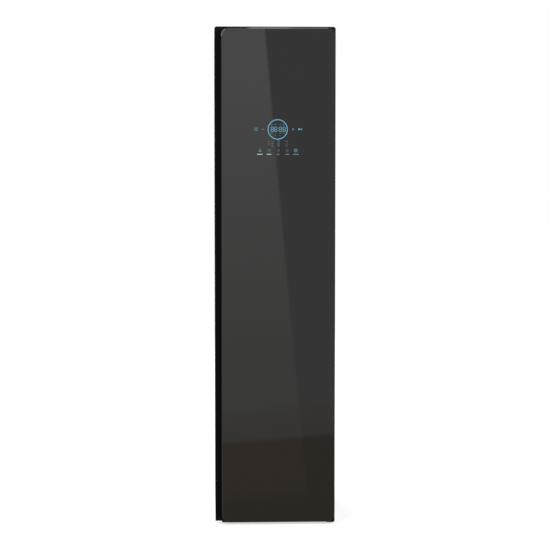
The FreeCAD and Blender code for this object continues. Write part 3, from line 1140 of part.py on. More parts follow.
def lint_filter():
    """The filter cassette: a frame with a handle bar and a mesh of fine ribs."""
    x0, x1 = FILTER_X - FILTER_W / 2, FILTER_X + FILTER_W / 2
    y0, y1 = FILTER_Y - FILTER_D / 2, FILTER_Y + FILTER_D / 2
    z1 = CHAMBER_Z0 + 3
    z0 = z1 - FILTER_H
    rim, root, rib = 5.0, 3.0, 3.0     # frame's wall, how deep the ribs run into it, and their height
    frame = slab_z(x0, x1, y0, y1, z0, z1, 8).cut(
        slab_z(x0 + rim, x1 - rim, y0 + rim, y1 - rim, z0 - 1, z1 + 1, 5))
    across, along = [y0 + 14 + 11.5 * i for i in range(9)], [x0 + 15 + 20 * i for i in range(8)]
    ribs = [box(x0 + root, x1 - root, y - 1, y + 1, z0, z0 + rib) for y in across]
    ribs += [box(x - 1, x + 1, y0 + root, y1 - root, z0, z0 + rib) for x in along]
    grip = slab_z(FILTER_X - 9, FILTER_X + 9, y0 + root, y1 - root, z1 - 6, z1, 2)
    return fused([frame, grip] + ribs)


EAR_Y = TANK_Y + 8.0                   # pivot of the carrying handle
PIVOT_Z = TANK_Z1 + 7.0
LID_HALF, LID_D = 71.0, 86.0
LID_TAB = 5.0
LID_HINGE_Y = TANK_Y + TANK_D / 2 - 12.0
LID_REAR = LID_HINGE_Y - 6.0
MOUTH_INSET = 6.0
TANK_WALL = 2.5
EAR_X, EAR_PIN_R = 82.5, 2.5
KNUCKLE_X, KNUCKLE_Z, LID_PIN_R = 46.0, TANK_Z1 + 3.5, 1.5
ARM_REACH, ARM_AT, ARM_HALF, ARM_HALF_H = 66.0, 77.0, 2.5, 3.5


def tank_mouth(x, inset, z0, z1):
    """The tank's rectangular mouth under the lid, less an inset from the lid's edge."""
    half = LID_HALF - inset
    return slab_z(x - half, x + half, LID_REAR - LID_D + inset, LID_REAR - inset, z0, z1, 10)


def tank_body(x):
    """A blow-moulded vessel with a deck, a mouth, two handle ears and the lid's hinge ears."""
    body = tank_outline(x, 0, TANK_Z0, TANK_Z1)
    body = body.makeFillet(6, edges_where(body, lambda p: p.z < TANK_Z0 + 0.1))
    body = body.cut(tank_outline(x, TANK_WALL, TANK_Z0 + TANK_WALL, TANK_Z1 - TANK_WALL))
    body = body.cut(tank_mouth(x, MOUTH_INSET, TANK_Z1 - 5, TANK_Z1 + 1))
    for side in (-1, 1):
        ear_x = x + side * EAR_X
        ear = slab_x(EAR_Y - 6, EAR_Y + 6, TANK_Z1 - 1, PIVOT_Z + 5, ear_x - 2, ear_x + 2, 2.5)
        ear = ear.cut(rod(EAR_PIN_R + RUNNING, (ear_x - 4, EAR_Y, PIVOT_Z), (8, 0, 0)))
        hinge_x = x + side * KNUCKLE_X
        knuckle = slab_x(LID_HINGE_Y - 4, LID_HINGE_Y + 4, TANK_Z1 - 1, TANK_Z1 + 7, hinge_x - 3, hinge_x + 3,
                         2)
        knuckle = knuckle.cut(rod(LID_PIN_R + RUNNING, (hinge_x - 4, LID_HINGE_Y, KNUCKLE_Z), (8, 0, 0)))
        body = body.fuse(ear).fuse(knuckle)
    return body.removeSplitter()


def tank_lid(x):
    """The lid: a plate with a plug under it, a finger tab and hinge pins."""
    y0, y1, z0 = LID_REAR - LID_D, LID_REAR, TANK_Z1
    plate = slab_z(x - LID_HALF, x + LID_HALF, y0, y1, z0 + 0.3, z0 + 4, 8)
    plate = plate.makeFillet(1.2, edges_where(plate, lambda p: p.z > z0 + 3.9))
    plug = tank_mouth(x, MOUTH_INSET + 0.8, z0 - 5, z0 + 0.5)
    plug = plug.cut(tank_mouth(x, MOUTH_INSET + 3, z0 - 6, z0 + 0.3))
    tab = slab_z(x - 16, x + 16, y0 - LID_TAB, y0 + 10, z0 + 1, z0 + 4, 4)
    arm_half, pin_half = KNUCKLE_X - 3.5, KNUCKLE_X + 2
    arm = slab_z(x - arm_half, x + arm_half, y1 - 8, LID_HINGE_Y + 2, KNUCKLE_Z - 2, KNUCKLE_Z + 2, 1.9)
    pins = rod(LID_PIN_R, (x - pin_half, LID_HINGE_Y, KNUCKLE_Z), (2 * pin_half, 0, 0))
    return fused([plate, plug, tab, arm, pins])


def tank_handle(x):
    """A bail handle that lies round the lid and swings up."""
    front, z0, z1 = EAR_Y - ARM_REACH, PIVOT_Z - ARM_HALF_H, PIVOT_Z + ARM_HALF_H
    bar_half = ARM_AT + ARM_HALF
    parts = [slab_x(front, front + 12, z0, z1, x - bar_half, x + bar_half, ARM_HALF_H - 0.5)]
    for side in (-1, 1):
        arm_x = x + side * ARM_AT
        parts.append(slab_x(front, EAR_Y + 5, z0, z1, arm_x - ARM_HALF, arm_x + ARM_HALF, ARM_HALF_H - 0.1))
        parts.append(rod(EAR_PIN_R, (arm_x, EAR_Y, PIVOT_Z), (side * 7.4, 0, 0)))
    return fused(parts)


def loose_pieces():
    save("shelf", shelf())
    save("lint_filter", lint_filter())
    for name, x in (("fresh", -TANK_X), ("drain", TANK_X)):
        save(f"{name}_tank", tank_body(x))
        save(f"{name}_tank_lid", tank_lid(x))
        save(f"{name}_tank_handle", tank_handle(x))


os.makedirs("parts", exist_ok=True)
casing()
chamber()
machinery()
feet_and_fasteners()
door()
moving_hanger()
loose_pieces()
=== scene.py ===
"""Looks of the clothes care steam cabinet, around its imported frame. Metres, Z up, the door faces -Y."""

import bpy
import math
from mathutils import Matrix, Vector


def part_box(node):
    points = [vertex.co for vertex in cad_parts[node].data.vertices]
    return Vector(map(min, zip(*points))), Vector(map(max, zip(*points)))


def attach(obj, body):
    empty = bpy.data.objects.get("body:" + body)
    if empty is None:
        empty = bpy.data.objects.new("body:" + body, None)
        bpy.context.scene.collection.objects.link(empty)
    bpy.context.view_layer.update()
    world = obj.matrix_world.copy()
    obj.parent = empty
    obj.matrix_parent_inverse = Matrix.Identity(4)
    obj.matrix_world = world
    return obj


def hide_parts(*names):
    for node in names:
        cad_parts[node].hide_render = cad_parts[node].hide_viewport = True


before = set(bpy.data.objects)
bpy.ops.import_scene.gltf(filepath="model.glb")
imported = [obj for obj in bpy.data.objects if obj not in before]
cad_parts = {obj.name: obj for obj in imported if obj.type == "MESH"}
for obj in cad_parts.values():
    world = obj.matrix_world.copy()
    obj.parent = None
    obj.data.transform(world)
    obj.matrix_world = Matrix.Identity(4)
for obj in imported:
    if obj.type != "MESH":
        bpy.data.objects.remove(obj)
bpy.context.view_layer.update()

MM = 0.001
FRAME_PX = 550.0
GLASS_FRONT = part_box("door_glass")[0].y


# ---------------------------------------------------------------- camera
CAMERA_TARGET = Vector((-0.00085, GLASS_FRONT, 0.9336))
CAMERA_YAW, CAMERA_PITCH = math.radians(2.27), math.radians(3.71)
CAMERA_DISTANCE = 6.0
SENSOR = 36.0
FOCAL_PX = 1625.1                       # focal length in pixels of the 550 px frame
VIEW_END = 200.0


def camera_back():
    """The direction from the object to the camera."""
    flat = math.cos(CAMERA_PITCH)
    return Vector((-math.sin(CAMERA_YAW) * flat, -math.cos(CAMERA_YAW) * flat, math.sin(CAMERA_PITCH)))


def make_camera():
    """Stands the camera where the view of the frame is taken from."""
    data = bpy.data.cameras.new("camera")
    data.sensor_width = SENSOR
    data.lens = FOCAL_PX / FRAME_PX * SENSOR
    data.clip_end = VIEW_END
    camera = bpy.data.objects.new("camera", data)
    camera.location = CAMERA_TARGET + camera_back() * CAMERA_DISTANCE
    camera.rotation_mode = "QUATERNION"
    camera.rotation_quaternion = (-camera_back()).to_track_quat("-Z", "Y")
    bpy.context.scene.collection.objects.link(camera)
    bpy.context.scene.camera = camera


# ---------------------------------------------------------------- material builder
class Shader:
    """A Principled material and the nodes that vary it. Lengths are in metres of the object's own space."""

    def __init__(self, name, colour, roughness, **fixed):
        self.material = bpy.data.materials.new(name)
        self.material.use_nodes = True
        self.tree = self.material.node_tree
        self.surface = self.tree.nodes["Principled BSDF"]
        self.place = self.node("ShaderNodeTexCoord").outputs["Object"]
        self.normal = None
        self.set("Base Color", (*colour, 1.0))
        self.set("Roughness", roughness)
        for socket, value in fixed.items():
            self.set(socket.replace("_", " "), value)

    def set(self, socket, value):
        """Sets one input of the surface to a value or a node's output."""
        self.feed(self.surface.inputs[socket], value)

    def feed(self, socket, value):
        """Links a node's output into a socket, or sets the socket's own value."""
        if isinstance(value, bpy.types.NodeSocket):
            self.tree.links.new(value, socket)
        else:
            socket.default_value = value

    def node(self, kind, inputs=None, **settings):
        """Adds a node with its inputs and settings."""
        made = self.tree.nodes.new(kind)
        for name, value in settings.items():
            setattr(made, name, value)
        for name, value in (inputs or {}).items():
            self.feed(made.inputs[name], value)
        return made

    def scaled(self, size, stretch):
        """The place, so that one unit is `size`, longer along the stretched axes."""
        scale = [1.0 / (size * s) for s in stretch]
        return self.node("ShaderNodeMapping", {"Vector": self.place, "Scale": scale}).outputs[0]

    def noise(self, size, detail=2.0, stretch=(1, 1, 1)):
        """Smooth noise from 0 to 1 with features of about that size."""
        inputs = {"Vector": self.scaled(size, stretch), "Scale": 1.0, "Detail": detail}
        return self.node("ShaderNodeTexNoise", inputs).outputs["Fac"]

    def cells(self, size, output="Distance"):
        """Voronoi cells of about that size."""
        inputs = {"Vector": self.scaled(size, (1, 1, 1)), "Scale": 1.0}
        return self.node("ShaderNodeTexVoronoi", inputs).outputs[output]

    def math(self, operation, *values):
        """The result of one Math node."""
        made = self.node("ShaderNodeMath", operation=operation)
        for socket, value in zip(made.inputs, values):
            self.feed(socket, value)
        return made.outputs[0]

    def ramp(self, factor, stops):
        """A colour that follows the factor through stops of (value, colour)."""
        low, high = stops[0][0], stops[-1][0]
        made = self.node("ShaderNodeValToRGB", {"Fac": self.ranged(factor, 0.0, 1.0, low, high)})
        elements = made.color_ramp.elements
        elements.remove(elements[1])
        for k, (value, colour) in enumerate(stops):
            at = (value - low) / (high - low)
            stop = elements[0] if k == 0 else elements.new(at)
            stop.position = at
            stop.color = (*colour, 1.0)
        return made.outputs["Color"]

    def ranged(self, factor, low, high, start=0.3, end=0.7):
        """A number that goes from low to high as the factor goes from start to end."""
        inputs = {"Value": factor, "From Min": start, "From Max": end, "To Min": low, "To Max": high}
        return self.node("ShaderNodeMapRange", inputs).outputs[0]

    def blended(self, factor, first, second):
        """A colour between two, or between colour sockets."""
        mix = self.node("ShaderNodeMix", data_type="RGBA")
        self.feed(mix.inputs[0], factor)
        for socket, colour in ((mix.inputs[6], first), (mix.inputs[7], second)):
            self.feed(socket, colour if isinstance(colour, bpy.types.NodeSocket) else (*colour, 1.0))
        return mix.outputs[2]

    def bump(self, height, depth):
        """Raises the surface by up to the depth where the height is 1."""
        inputs = {"Height": height, "Distance": depth}
        if self.normal:
            inputs["Normal"] = self.normal
        self.normal = self.node("ShaderNodeBump", inputs).outputs[0]
        self.set("Normal", self.normal)

    def mottle(self, colour, amount, size):
        """Slight uneven tone, as every moulded or painted face has."""
        darker = [c * (1 - amount) for c in colour]
        lighter = [min(1.0, c * (1 + amount)) for c in colour]
        self.set("Base Color", self.blended(self.noise(size, 3.0), darker, lighter))


# ---------------------------------------------------------------- materials
GLASS_IOR = 1.45
FROSTED = (0.012, 0.014, 0.014)         # the tone of the glass's ground sides
FACE_SHARE, SIDE_SHARE = 0.9, 0.5       # how far towards -Y a face looks, to be all front or all side
POLISH, FROST = 0.012, 0.2              # roughness of the front and of the sides


def moulded(name, colour, roughness, grain=0.0007, **fixed):
    """Injection-moulded plastic: a fine spark-eroded grain, faint flow tones and a hand-worn gloss."""
    s = Shader(name, colour, roughness, **fixed)
    s.mottle(colour, 0.05, 0.12)
    s.set("Roughness", s.ranged(s.noise(0.05, 4.0), roughness - 0.015, roughness + 0.015))
    s.bump(s.noise(grain, 2.0), 0.00002)
    return s.material


def painted(name, colour, roughness, **fixed):
    """Powder-coated steel: orange peel, finer grains and a slightly uneven sheen."""
    s = Shader(name, colour, roughness, **fixed)
    s.mottle(colour, 0.05, 0.2)
    s.set("Roughness", s.ranged(s.noise(0.03, 4.0), roughness - 0.01, roughness + 0.01))
    s.bump(s.noise(0.0028, 1.0), 0.00003)
    s.bump(s.noise(0.0006, 2.0), 0.00001)
    return s.material


def zinc(name, colour, crystals=0.008):
    """Galvanised steel: flat crystals, each with its own tone and sheen, over faint rolling streaks."""
    s = Shader(name, colour, 0.4, Metallic=1.0)
    crystal = s.cells(crystals, "Color")
    tone = s.node("ShaderNodeSeparateColor", {"Color": crystal}).outputs[0]
    streak = s.noise(0.004, 3.0, (1, 1, 60))
    low, high = [c * 0.88 for c in colour], [min(1.0, c * 1.07) for c in colour]
    s.set("Base Color", s.blended(tone, low, high))
    s.set("Roughness", s.ranged(streak, 0.32, 0.5))
    s.bump(s.noise(0.0015, 2.0), 0.00003)
    return s.material


def brushed(name, colour, along, roughness=0.3):
    """Metal with fine parallel brush lines along one axis."""
    s = Shader(name, colour, roughness, Metallic=1.0)
    stretch = [80.0 if i == along else 1.0 for i in range(3)]
    lines = s.noise(0.0006, 4.0, stretch)
    s.set("Roughness", s.ranged(lines, roughness - 0.08, roughness + 0.1))
    s.set("Base Color", s.blended(lines, [c * 0.88 for c in colour], colour))
    s.bump(lines, 0.00002)
    return s.material


def ground(name, colour):
    """Ground and polished steel: close rings round the rods, and a trace of oil."""
    s = Shader(name, colour, 0.12, Metallic=1.0)
    s.set("Roughness", s.ranged(s.noise(0.02, 4.0), 0.08, 0.2))
    s.bump(s.noise(0.0004, 2.0, (1, 60, 60)), 0.000008)
    return s.material


def cast(name, colour):
    """Sand-cast aluminium: a grainy skin with shallow pits."""
    s = Shader(name, colour, 0.55, Metallic=1.0)
    s.set("Base Color", s.blended(s.noise(0.004, 4.0), [c * 0.75 for c in colour], colour))
    s.bump(s.noise(0.0012, 3.0), 0.00015)
    s.bump(s.ranged(s.cells(0.003), 0.0, 1.0, 0.0, 0.25), 0.0001)
    return s.material


def copper_pipe(name, colour):
    """Drawn copper with brown handling marks and brighter rubbed stretches."""
    s = Shader(name, colour, 0.3, Metallic=1.0)
    tarnish = s.noise(0.02, 5.0)
    s.set("Base Color", s.blended(s.ranged(tarnish, 0.0, 1.0), [c * 0.5 for c in colour], colour))
    s.set("Roughness", s.ranged(tarnish, 0.48, 0.22))
    return s.material


def rubber(name, colour, roughness=0.7):
    """Soft extruded rubber or silicone: a dull, slightly dusty skin."""
    s = Shader(name, colour, roughness, Specular_IOR_Level=0.35)
    s.mottle(colour, 0.12, 0.03)
    s.bump(s.noise(0.0005, 3.0), 0.00003)
    return s.material


def foamed(name, colour):
    """Cut polyurethane foam: open cells of about a millimetre, with painted shade darkening each cell's
    hollow.
    """
    s = Shader(name, colour, 0.9)
    cell = s.cells(0.0016)
    # painted shade in the pores: the colour darkens to 0.6 of itself where the bump sinks into a cell's
    # hollow
    s.set("Base Color", s.blended(s.ranged(cell, 0.0, 1.0, 0.1, 0.6), [c * 0.6 for c in colour], colour))
    s.bump(cell, 0.0006)
    return s.material


def tank_wall(name, colour):
    """Blow-moulded translucent plastic, with soft flow waves."""
    s = Shader(name, colour, 0.22, Transmission_Weight=0.55, IOR=1.46)
    s.set("Roughness", s.ranged(s.noise(0.04, 2.0), 0.2, 0.28))
    s.bump(s.noise(0.05, 1.0, (1, 1, 3)), 0.0002)
    return s.material


def diffuser(name, colour):
    """The lamp's opal cover, softly lit from behind."""
    s = Shader(name, colour, 0.35, Emission_Strength=1.6)
    glow = s.ranged(s.noise(0.01, 1.0), 0.94, 1.0)
    s.set("Emission Color", s.blended(glow, (0.8, 0.86, 0.95), (0.95, 0.98, 1.0)))
    s.bump(s.noise(0.001, 1.0), 0.00003)
    return s.material


def mirror_glass(name, colour):
    """Dark coated glass: a clean front with a polished bevel, and slightly frosted sides."""
    s = Shader(name, colour, 0.02, IOR=GLASS_IOR)
    facing = s.node("ShaderNodeTexCoord").outputs["Normal"]
    turned = s.node("ShaderNodeSeparateXYZ", {"Vector": facing}).outputs[1]
    side = s.ranged(s.math("ABSOLUTE", turned), 1.0, 0.0, SIDE_SHARE, FACE_SHARE)
    s.set("Base Color", s.blended(side, colour, FROSTED))
    s.set("Roughness", s.ranged(side, POLISH, FROST, 0.0, 1.0))
    return s.material


def glowing(name, colour, strength):
    """A lit segment of the display, a little uneven as light guides are."""
    s = Shader(name, (0.0, 0.0, 0.0), 0.4, Emission_Strength=strength)
    low = [c * 0.9 for c in colour]
    s.set("Emission Color", s.blended(s.noise(0.006, 1.0), low, colour))
    return s.material


def lamination(name, colour):
    """Thin aluminium fins: bright edges with a fine grain."""
    s = Shader(name, colour, 0.35, Metallic=1.0)
    s.set("Base Color", s.blended(s.noise(0.006, 4.0), [c * 0.8 for c in colour], colour))
    s.set("Roughness", s.ranged(s.noise(0.002, 3.0), 0.28, 0.5))
    return s.material


BLACK = (0.010, 0.010, 0.0105)
GLASS_BLACK = 0.003

FINISHES = {
    "casing_paint": painted("casing_paint", BLACK, 0.42, Specular_IOR_Level=0.32),
    "cap_plastic": moulded("cap_plastic", (0.006, 0.006, 0.006), 0.5, Specular_IOR_Level=0.05),
    "back_steel": zinc("back_steel", (0.36, 0.365, 0.37), 0.005),
    "galvanised_steel": zinc("galvanised_steel", (0.6, 0.61, 0.62)),
    "rail_paint": painted("rail_paint", BLACK, 0.4),
    "kick_plastic": moulded("kick_plastic", (0.07, 0.07, 0.075), 0.45),
    "liner_plastic": moulded("liner_plastic", (0.33, 0.34, 0.35), 0.38),
    "well_plastic": moulded("well_plastic", (0.12, 0.12, 0.125), 0.5),
    "foam": foamed("foam", (0.86, 0.85, 0.82)),
    "lamp_diffuser": diffuser("lamp_diffuser", (0.9, 0.9, 0.88)),
    "duct_plastic": moulded("duct_plastic", (0.1, 0.1, 0.105), 0.5, grain=0.0012),
    "fin_aluminium": lamination("fin_aluminium", (0.78, 0.79, 0.8)),
    "motor_steel": brushed("motor_steel", (0.5, 0.5, 0.51), 2),
    "impeller_plastic": moulded("impeller_plastic", (0.05, 0.05, 0.055), 0.35),
    "compressor_paint": painted("compressor_paint", (0.012, 0.012, 0.012), 0.2),
    "copper": copper_pipe("copper", (0.72, 0.38, 0.24)),
    "cast_aluminium": cast("cast_aluminium", (0.6, 0.6, 0.61)),
    "nozzle_plastic": moulded("nozzle_plastic", (0.05, 0.05, 0.055), 0.4),
    "pump_plastic": moulded("pump_plastic", (0.8, 0.79, 0.74), 0.4),
    "silicone_hose": rubber("silicone_hose", (0.75, 0.74, 0.7), 0.45),
    "control_plastic": moulded("control_plastic", (0.045, 0.047, 0.05), 0.5),
    "wire_sleeve": rubber("wire_sleeve", (0.02, 0.02, 0.02), 0.55),
    "inlet_plastic": moulded("inlet_plastic", (0.02, 0.02, 0.02), 0.4),
    "foot_plastic": moulded("foot_plastic", (0.03, 0.03, 0.03), 0.55),
    "screw_steel": brushed("screw_steel", (0.1, 0.1, 0.1), 2, 0.35),
    "hinge_steel": painted("hinge_steel", (0.02, 0.02, 0.02), 0.35),
    "bush_plastic": moulded("bush_plastic", (0.75, 0.74, 0.7), 0.35),
    "door_glass": mirror_glass("door_glass", (GLASS_BLACK,) * 3),
    "door_aluminium": painted("door_aluminium", (0.0022, 0.0022, 0.0022), 0.5, Specular_IOR_Level=0.04),
    "door_panel_plastic": moulded("door_panel_plastic", (0.3, 0.31, 0.32), 0.38),
    "gasket_rubber": rubber("gasket_rubber", (0.035, 0.035, 0.037)),
    "display": moulded("display", (0.08, 0.09, 0.1), 0.4),
    "ground_steel": ground("ground_steel", (0.75, 0.75, 0.76)),
    "carriage_plastic": moulded("carriage_plastic", (0.09, 0.09, 0.095), 0.4),
    "bar_steel": brushed("bar_steel", (0.62, 0.62, 0.63), 0, 0.22),
    "gear_plastic": moulded("gear_plastic", (0.85, 0.83, 0.76), 0.35),
    "hanger_plastic": moulded("hanger_plastic", (0.1, 0.1, 0.105), 0.35),
    "shelf_plastic": moulded("shelf_plastic", (0.22, 0.225, 0.23), 0.38),
    "filter_plastic": moulded("filter_plastic", (0.14, 0.145, 0.15), 0.42),
    "tank_plastic": tank_wall("tank_plastic", (0.3, 0.32, 0.34)),
    "fresh_lid_plastic": moulded("fresh_lid_plastic", (0.16, 0.28, 0.4), 0.35),
    "drain_lid_plastic": moulded("drain_lid_plastic", (0.2, 0.205, 0.21), 0.35),
    "handle_plastic": moulded("handle_plastic", (0.06, 0.06, 0.063), 0.4),
}


def dress_nodes():
    """Gives every CAD node the finish of its own material slot."""
    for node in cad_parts.values():
        for place in node.material_slots:
            slot = place.material.name.split(".")[0]
            place.material = FINISHES[slot]


# ---------------------------------------------------------------- display
# Places on the display are in mm from the ring's centre, across and up.
DISPLAY_CENTRE = (9.2, 1469.2)          # the ring's centre on the glass, in mm
PROUD = 0.05 * MM                       # how far a mark stands off its face
CYAN = (0.135, 0.46, 0.64)
DIGITS = (0.10, 0.40, 0.54)
TEAL = (0.055, 0.27, 0.36)
DIM = (0.05, 0.16, 0.20)
LABEL = (0.52, 0.52, 0.49)

RING_R, RING_WIDTH = 35.5, 3.3
DIGIT_X, DIGIT_WIDTH = (-19.8, -7.2, 10.2, 23.5), 2.1
DIGIT_HALF_W, DIGIT_HALF_H, DIGIT_GAP = 4.0, 8.6, 0.7
COLON_X, COLON_Z = 1.5, (-3.8, 3.8)
KEY_Z, KEY_WIDTH = 0.6, 2.3
MINUS_X, MINUS_HALF = -53.7, 4.3
PLUS_X, PLUS_HALF = 56.4, 4.4
GRID_X, GRID_Z, GRID_CELL = (-83.8, -79.4, -75.0), (-3.2, 1.0, 5.2), 2.8
PLAY, PLAY_WIDTH = ((77.4, -2.2), (77.4, 3.6), (81.8, 0.7)), 2.8
PAUSE_X, PAUSE_Z, PAUSE_WIDTH = (85.6, 89.0), (-1.8, 3.2), 2.0
SYMBOL_WIDTH = 1.1
SYMBOL_HANGER = ((-23.2, 16.0), (-19.6, 16.0), (-21.4, 20.4))
SYMBOL_DOT_X, SYMBOL_DOT_Z, SYMBOL_DOT_R = -7.8, 18.0, 1.8
SIGNAL_X, SIGNAL_LOW, SIGNAL_HIGH = (6.0, 8.4, 10.8), 16.2, (17.4, 18.8, 20.2)
DIAL_X, DIAL_Z, DIAL_R, DIAL_HAND = 21.0, 18.2, 2.0, 1.6
RING_WORDS, RING_WORD = {-15.0: (-22.6, -7.8, 8.9, 21.8), -23.0: (-7.8, 8.9)}, 7.0
SIDE_ROWS = {-32.5: (-44.6, -53.5), -19.0: (-44.6, -52.6, -60.9), 32.9: (-43.1, -53.5, -61.2)}
MIDDLE_ROWS = {2.6: (-38.7, -45.7, -53.5, -60.7)}
ROW_WORD, ROW_WIDTH = 9.0, 1.6
SMALL_HEIGHT, SMALL_PITCH = 2.0, 2.4    # of the bars of the words in the ring and under it
ICON_Z, ICON_WIDTH, ICON_THIN = -76.6, 2.4, 1.5
LABEL_Z, LABEL_HEIGHT, LABEL_PITCH = -91.0, 2.2, 3.3
LIT_LABELS, LIT_LABEL_WIDTH = ((-65.8, 20.5), (-32.2, 17.0)), 2.4
FAINT_LABELS, FAINT_LABEL_WIDTH = ((1.1, 10.5), (34.8, 12.5), (67.3, 20.5)), 2.2


def strokes(name, lines, width, material, body="door", place=None, lying=False):
    """Thin flat lines on a face, as printed or lit marks.

    A line is (points, closed), with its points (across, up) in mm from the place. The place is the ring's
    centre on the glass, unless one is given in metres. Lying lines are on a level face, `up` to the back.
    """
    curve = bpy.data.curves.new(name, "CURVE")
    curve.dimensions = "3D"
    curve.bevel_depth = width / 2 * MM
    curve.bevel_resolution = 1
    curve.use_fill_caps = True
    for points, closed in lines:
        spline = curve.splines.new("POLY")
        spline.points.add(len(points) - 1)
        for point, (across, up) in zip(spline.points, points):
            point.co = (across * MM, 0.0, up * MM, 1.0)
        spline.use_cyclic_u = closed
    curve.materials.append(material)
    piece = bpy.data.objects.new(name, curve)
    piece.location = place or (DISPLAY_CENTRE[0] * MM, GLASS_FRONT, DISPLAY_CENTRE[1] * MM)
    piece.scale.y = PROUD / curve.bevel_depth
    if lying:
        piece.rotation_euler.x = -math.pi / 2
    bpy.context.scene.collection.objects.link(piece)
    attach(piece, body)
    return piece


def circle(x, z, r, steps=24):
    """A closed line of that many points round a centre."""
    turn = [2 * math.pi * i / steps for i in range(steps)]
    return [(x + r * math.cos(a), z + r * math.sin(a)) for a in turn], True


def line(*points):
    """An open line through the points."""
    return list(points), False


def loop(*points):
    """A closed line through the points."""
    return list(points), True


def bar(x, z, half):
    """A level line about a point."""
    return line((x - half, z), (x + half, z))


def post(x, z, half=0.7):
    """An upright line about a point."""
    return line((x, z - half), (x, z + half))


def digit_eight(x):
    """The seven lit segments of a figure eight."""
    lines = [bar(x, z, DIGIT_HALF_W - DIGIT_GAP) for z in (-DIGIT_HALF_H, 0.0, DIGIT_HALF_H)]
    for side in (-DIGIT_HALF_W, DIGIT_HALF_W):
        for low in (-DIGIT_HALF_H, 0.0):
            lines.append(line((x + side, low + DIGIT_GAP), (x + side, low + DIGIT_HALF_H - DIGIT_GAP)))
    return lines


def words(x, z, width, height=SMALL_HEIGHT, pitch=SMALL_PITCH):
    """A row of short upright bars that stands for a word, and spells nothing."""
    count = max(2, round(width / pitch))
    start = x - pitch * (count - 1) / 2
    return [post(start + pitch * i, z, height / 2) for i in range(count)]


DROP_START, DROP_SWEEP, DROP_STEPS = 150.0, 240.0, 12    # the round bottom, in degrees
DROP_TIP = 1.9                          # the tip's height over the centre, in radii


def water_drop(x, z, r):
    """The outline of a drop: a round bottom that runs up to a point."""
    turns = [math.radians(DROP_START + DROP_SWEEP * k / DROP_STEPS) for k in range(DROP_STEPS + 1)]
    return loop(*[(x + r * math.cos(a), z + r * math.sin(a)) for a in turns], (x, z + DROP_TIP * r))


def make_display():
    """The lit marks on the glass: the ring and its digits, the keys, rows of words, icons and labels."""
    cyan, teal = glowing("lit_cyan", CYAN, 1.0), glowing("lit_teal", TEAL, 1.0)
    dim, digits_lit = glowing("lit_dim", DIM, 1.0), glowing("lit_digits", DIGITS, 1.0)

    strokes("display_ring", [circle(0, 0, RING_R, 96)], RING_WIDTH, cyan)

    digits = [stroke for x in DIGIT_X for stroke in digit_eight(x)]
    strokes("display_digits", digits + [post(COLON_X, z) for z in COLON_Z], DIGIT_WIDTH, digits_lit)

    keys = [bar(MINUS_X, KEY_Z, MINUS_HALF), bar(PLUS_X, KEY_Z, PLUS_HALF), post(PLUS_X, KEY_Z, PLUS_HALF)]
    strokes("display_keys", keys, KEY_WIDTH, teal)
    grid = [post(x, z, GRID_CELL / 2) for x in GRID_X for z in GRID_Z]
    strokes("display_grid", grid, GRID_CELL, teal)

    strokes("display_play", [loop(*PLAY)], PLAY_WIDTH, glowing("lit_start", CYAN, 1.6))
    pause = [line((x, PAUSE_Z[0]), (x, PAUSE_Z[1])) for x in PAUSE_X]
    strokes("display_pause", pause, PAUSE_WIDTH, digits_lit)

    symbols = [loop(*SYMBOL_HANGER), circle(SYMBOL_DOT_X, SYMBOL_DOT_Z, SYMBOL_DOT_R, 12)]
    symbols += [line((x, SIGNAL_LOW), (x, high)) for x, high in zip(SIGNAL_X, SIGNAL_HIGH)]
    symbols.append(circle(DIAL_X, DIAL_Z, DIAL_R, 12))
    symbols.append(line((DIAL_X, DIAL_Z), (DIAL_X + DIAL_HAND, DIAL_Z + DIAL_HAND)))
    for z, columns in RING_WORDS.items():
        for x in columns:
            symbols += words(x, z, RING_WORD)
    strokes("display_symbols", symbols, SYMBOL_WIDTH, teal)

    for name, rows, material in (("display_rows_faint", SIDE_ROWS, glowing("lit_rows", TEAL, 0.85)),
                                 ("display_rows", MIDDLE_ROWS, digits_lit)):
        marks = [mark for x, levels in rows.items() for z in levels for mark in words(x, z, ROW_WORD)]
        strokes(name, marks, ROW_WIDTH, material)

    make_function_icons(teal, dim)
    lit, faint = glowing("lit_label", LABEL, 1.9), glowing("lit_label_faint", LABEL, 0.8)
    for name, labels, width, material in (("display_labels", LIT_LABELS, LIT_LABEL_WIDTH, lit),
                                          ("display_labels_faint", FAINT_LABELS, FAINT_LABEL_WIDTH, faint)):
        marks = [mark for x, wide in labels for mark in words(x, LABEL_Z, wide, LABEL_HEIGHT, LABEL_PITCH)]
        strokes(name, marks, width, material)


# Each icon's column, and its lines from its own centre.
HANGER_X, HANGER_SHOULDERS = -65.2, ((-5.8, -4.6), (0.0, 1.6), (5.8, -4.6))
HANGER_BAR = ((-4.2, -3.4), (4.2, -3.4))
HANGER_HOOK = ((0.0, 1.6), (0.0, 3.6), (1.6, 5.2), (0.0, 6.4))
CLOCK_X, CLOCK_R, CLOCK_HANDS = 66.2, 5.4, ((0.0, 3.2), (0.0, 0.0), (2.6, 0.0))
STEAM_X, STEAM_LOW, STEAM_STEP, STEAM_WAVE, STEAM_POINTS = (-35.2, -31.4, -27.6), -4.8, 1.2, 0.9, 9
SUN_X, SUN_DISC, SUN_RAY = 1.6, 2.6, (4.2, 5.6)
WATER_X, WATER_DOWN, WATER_R = 34.6, 1.6, 3.8


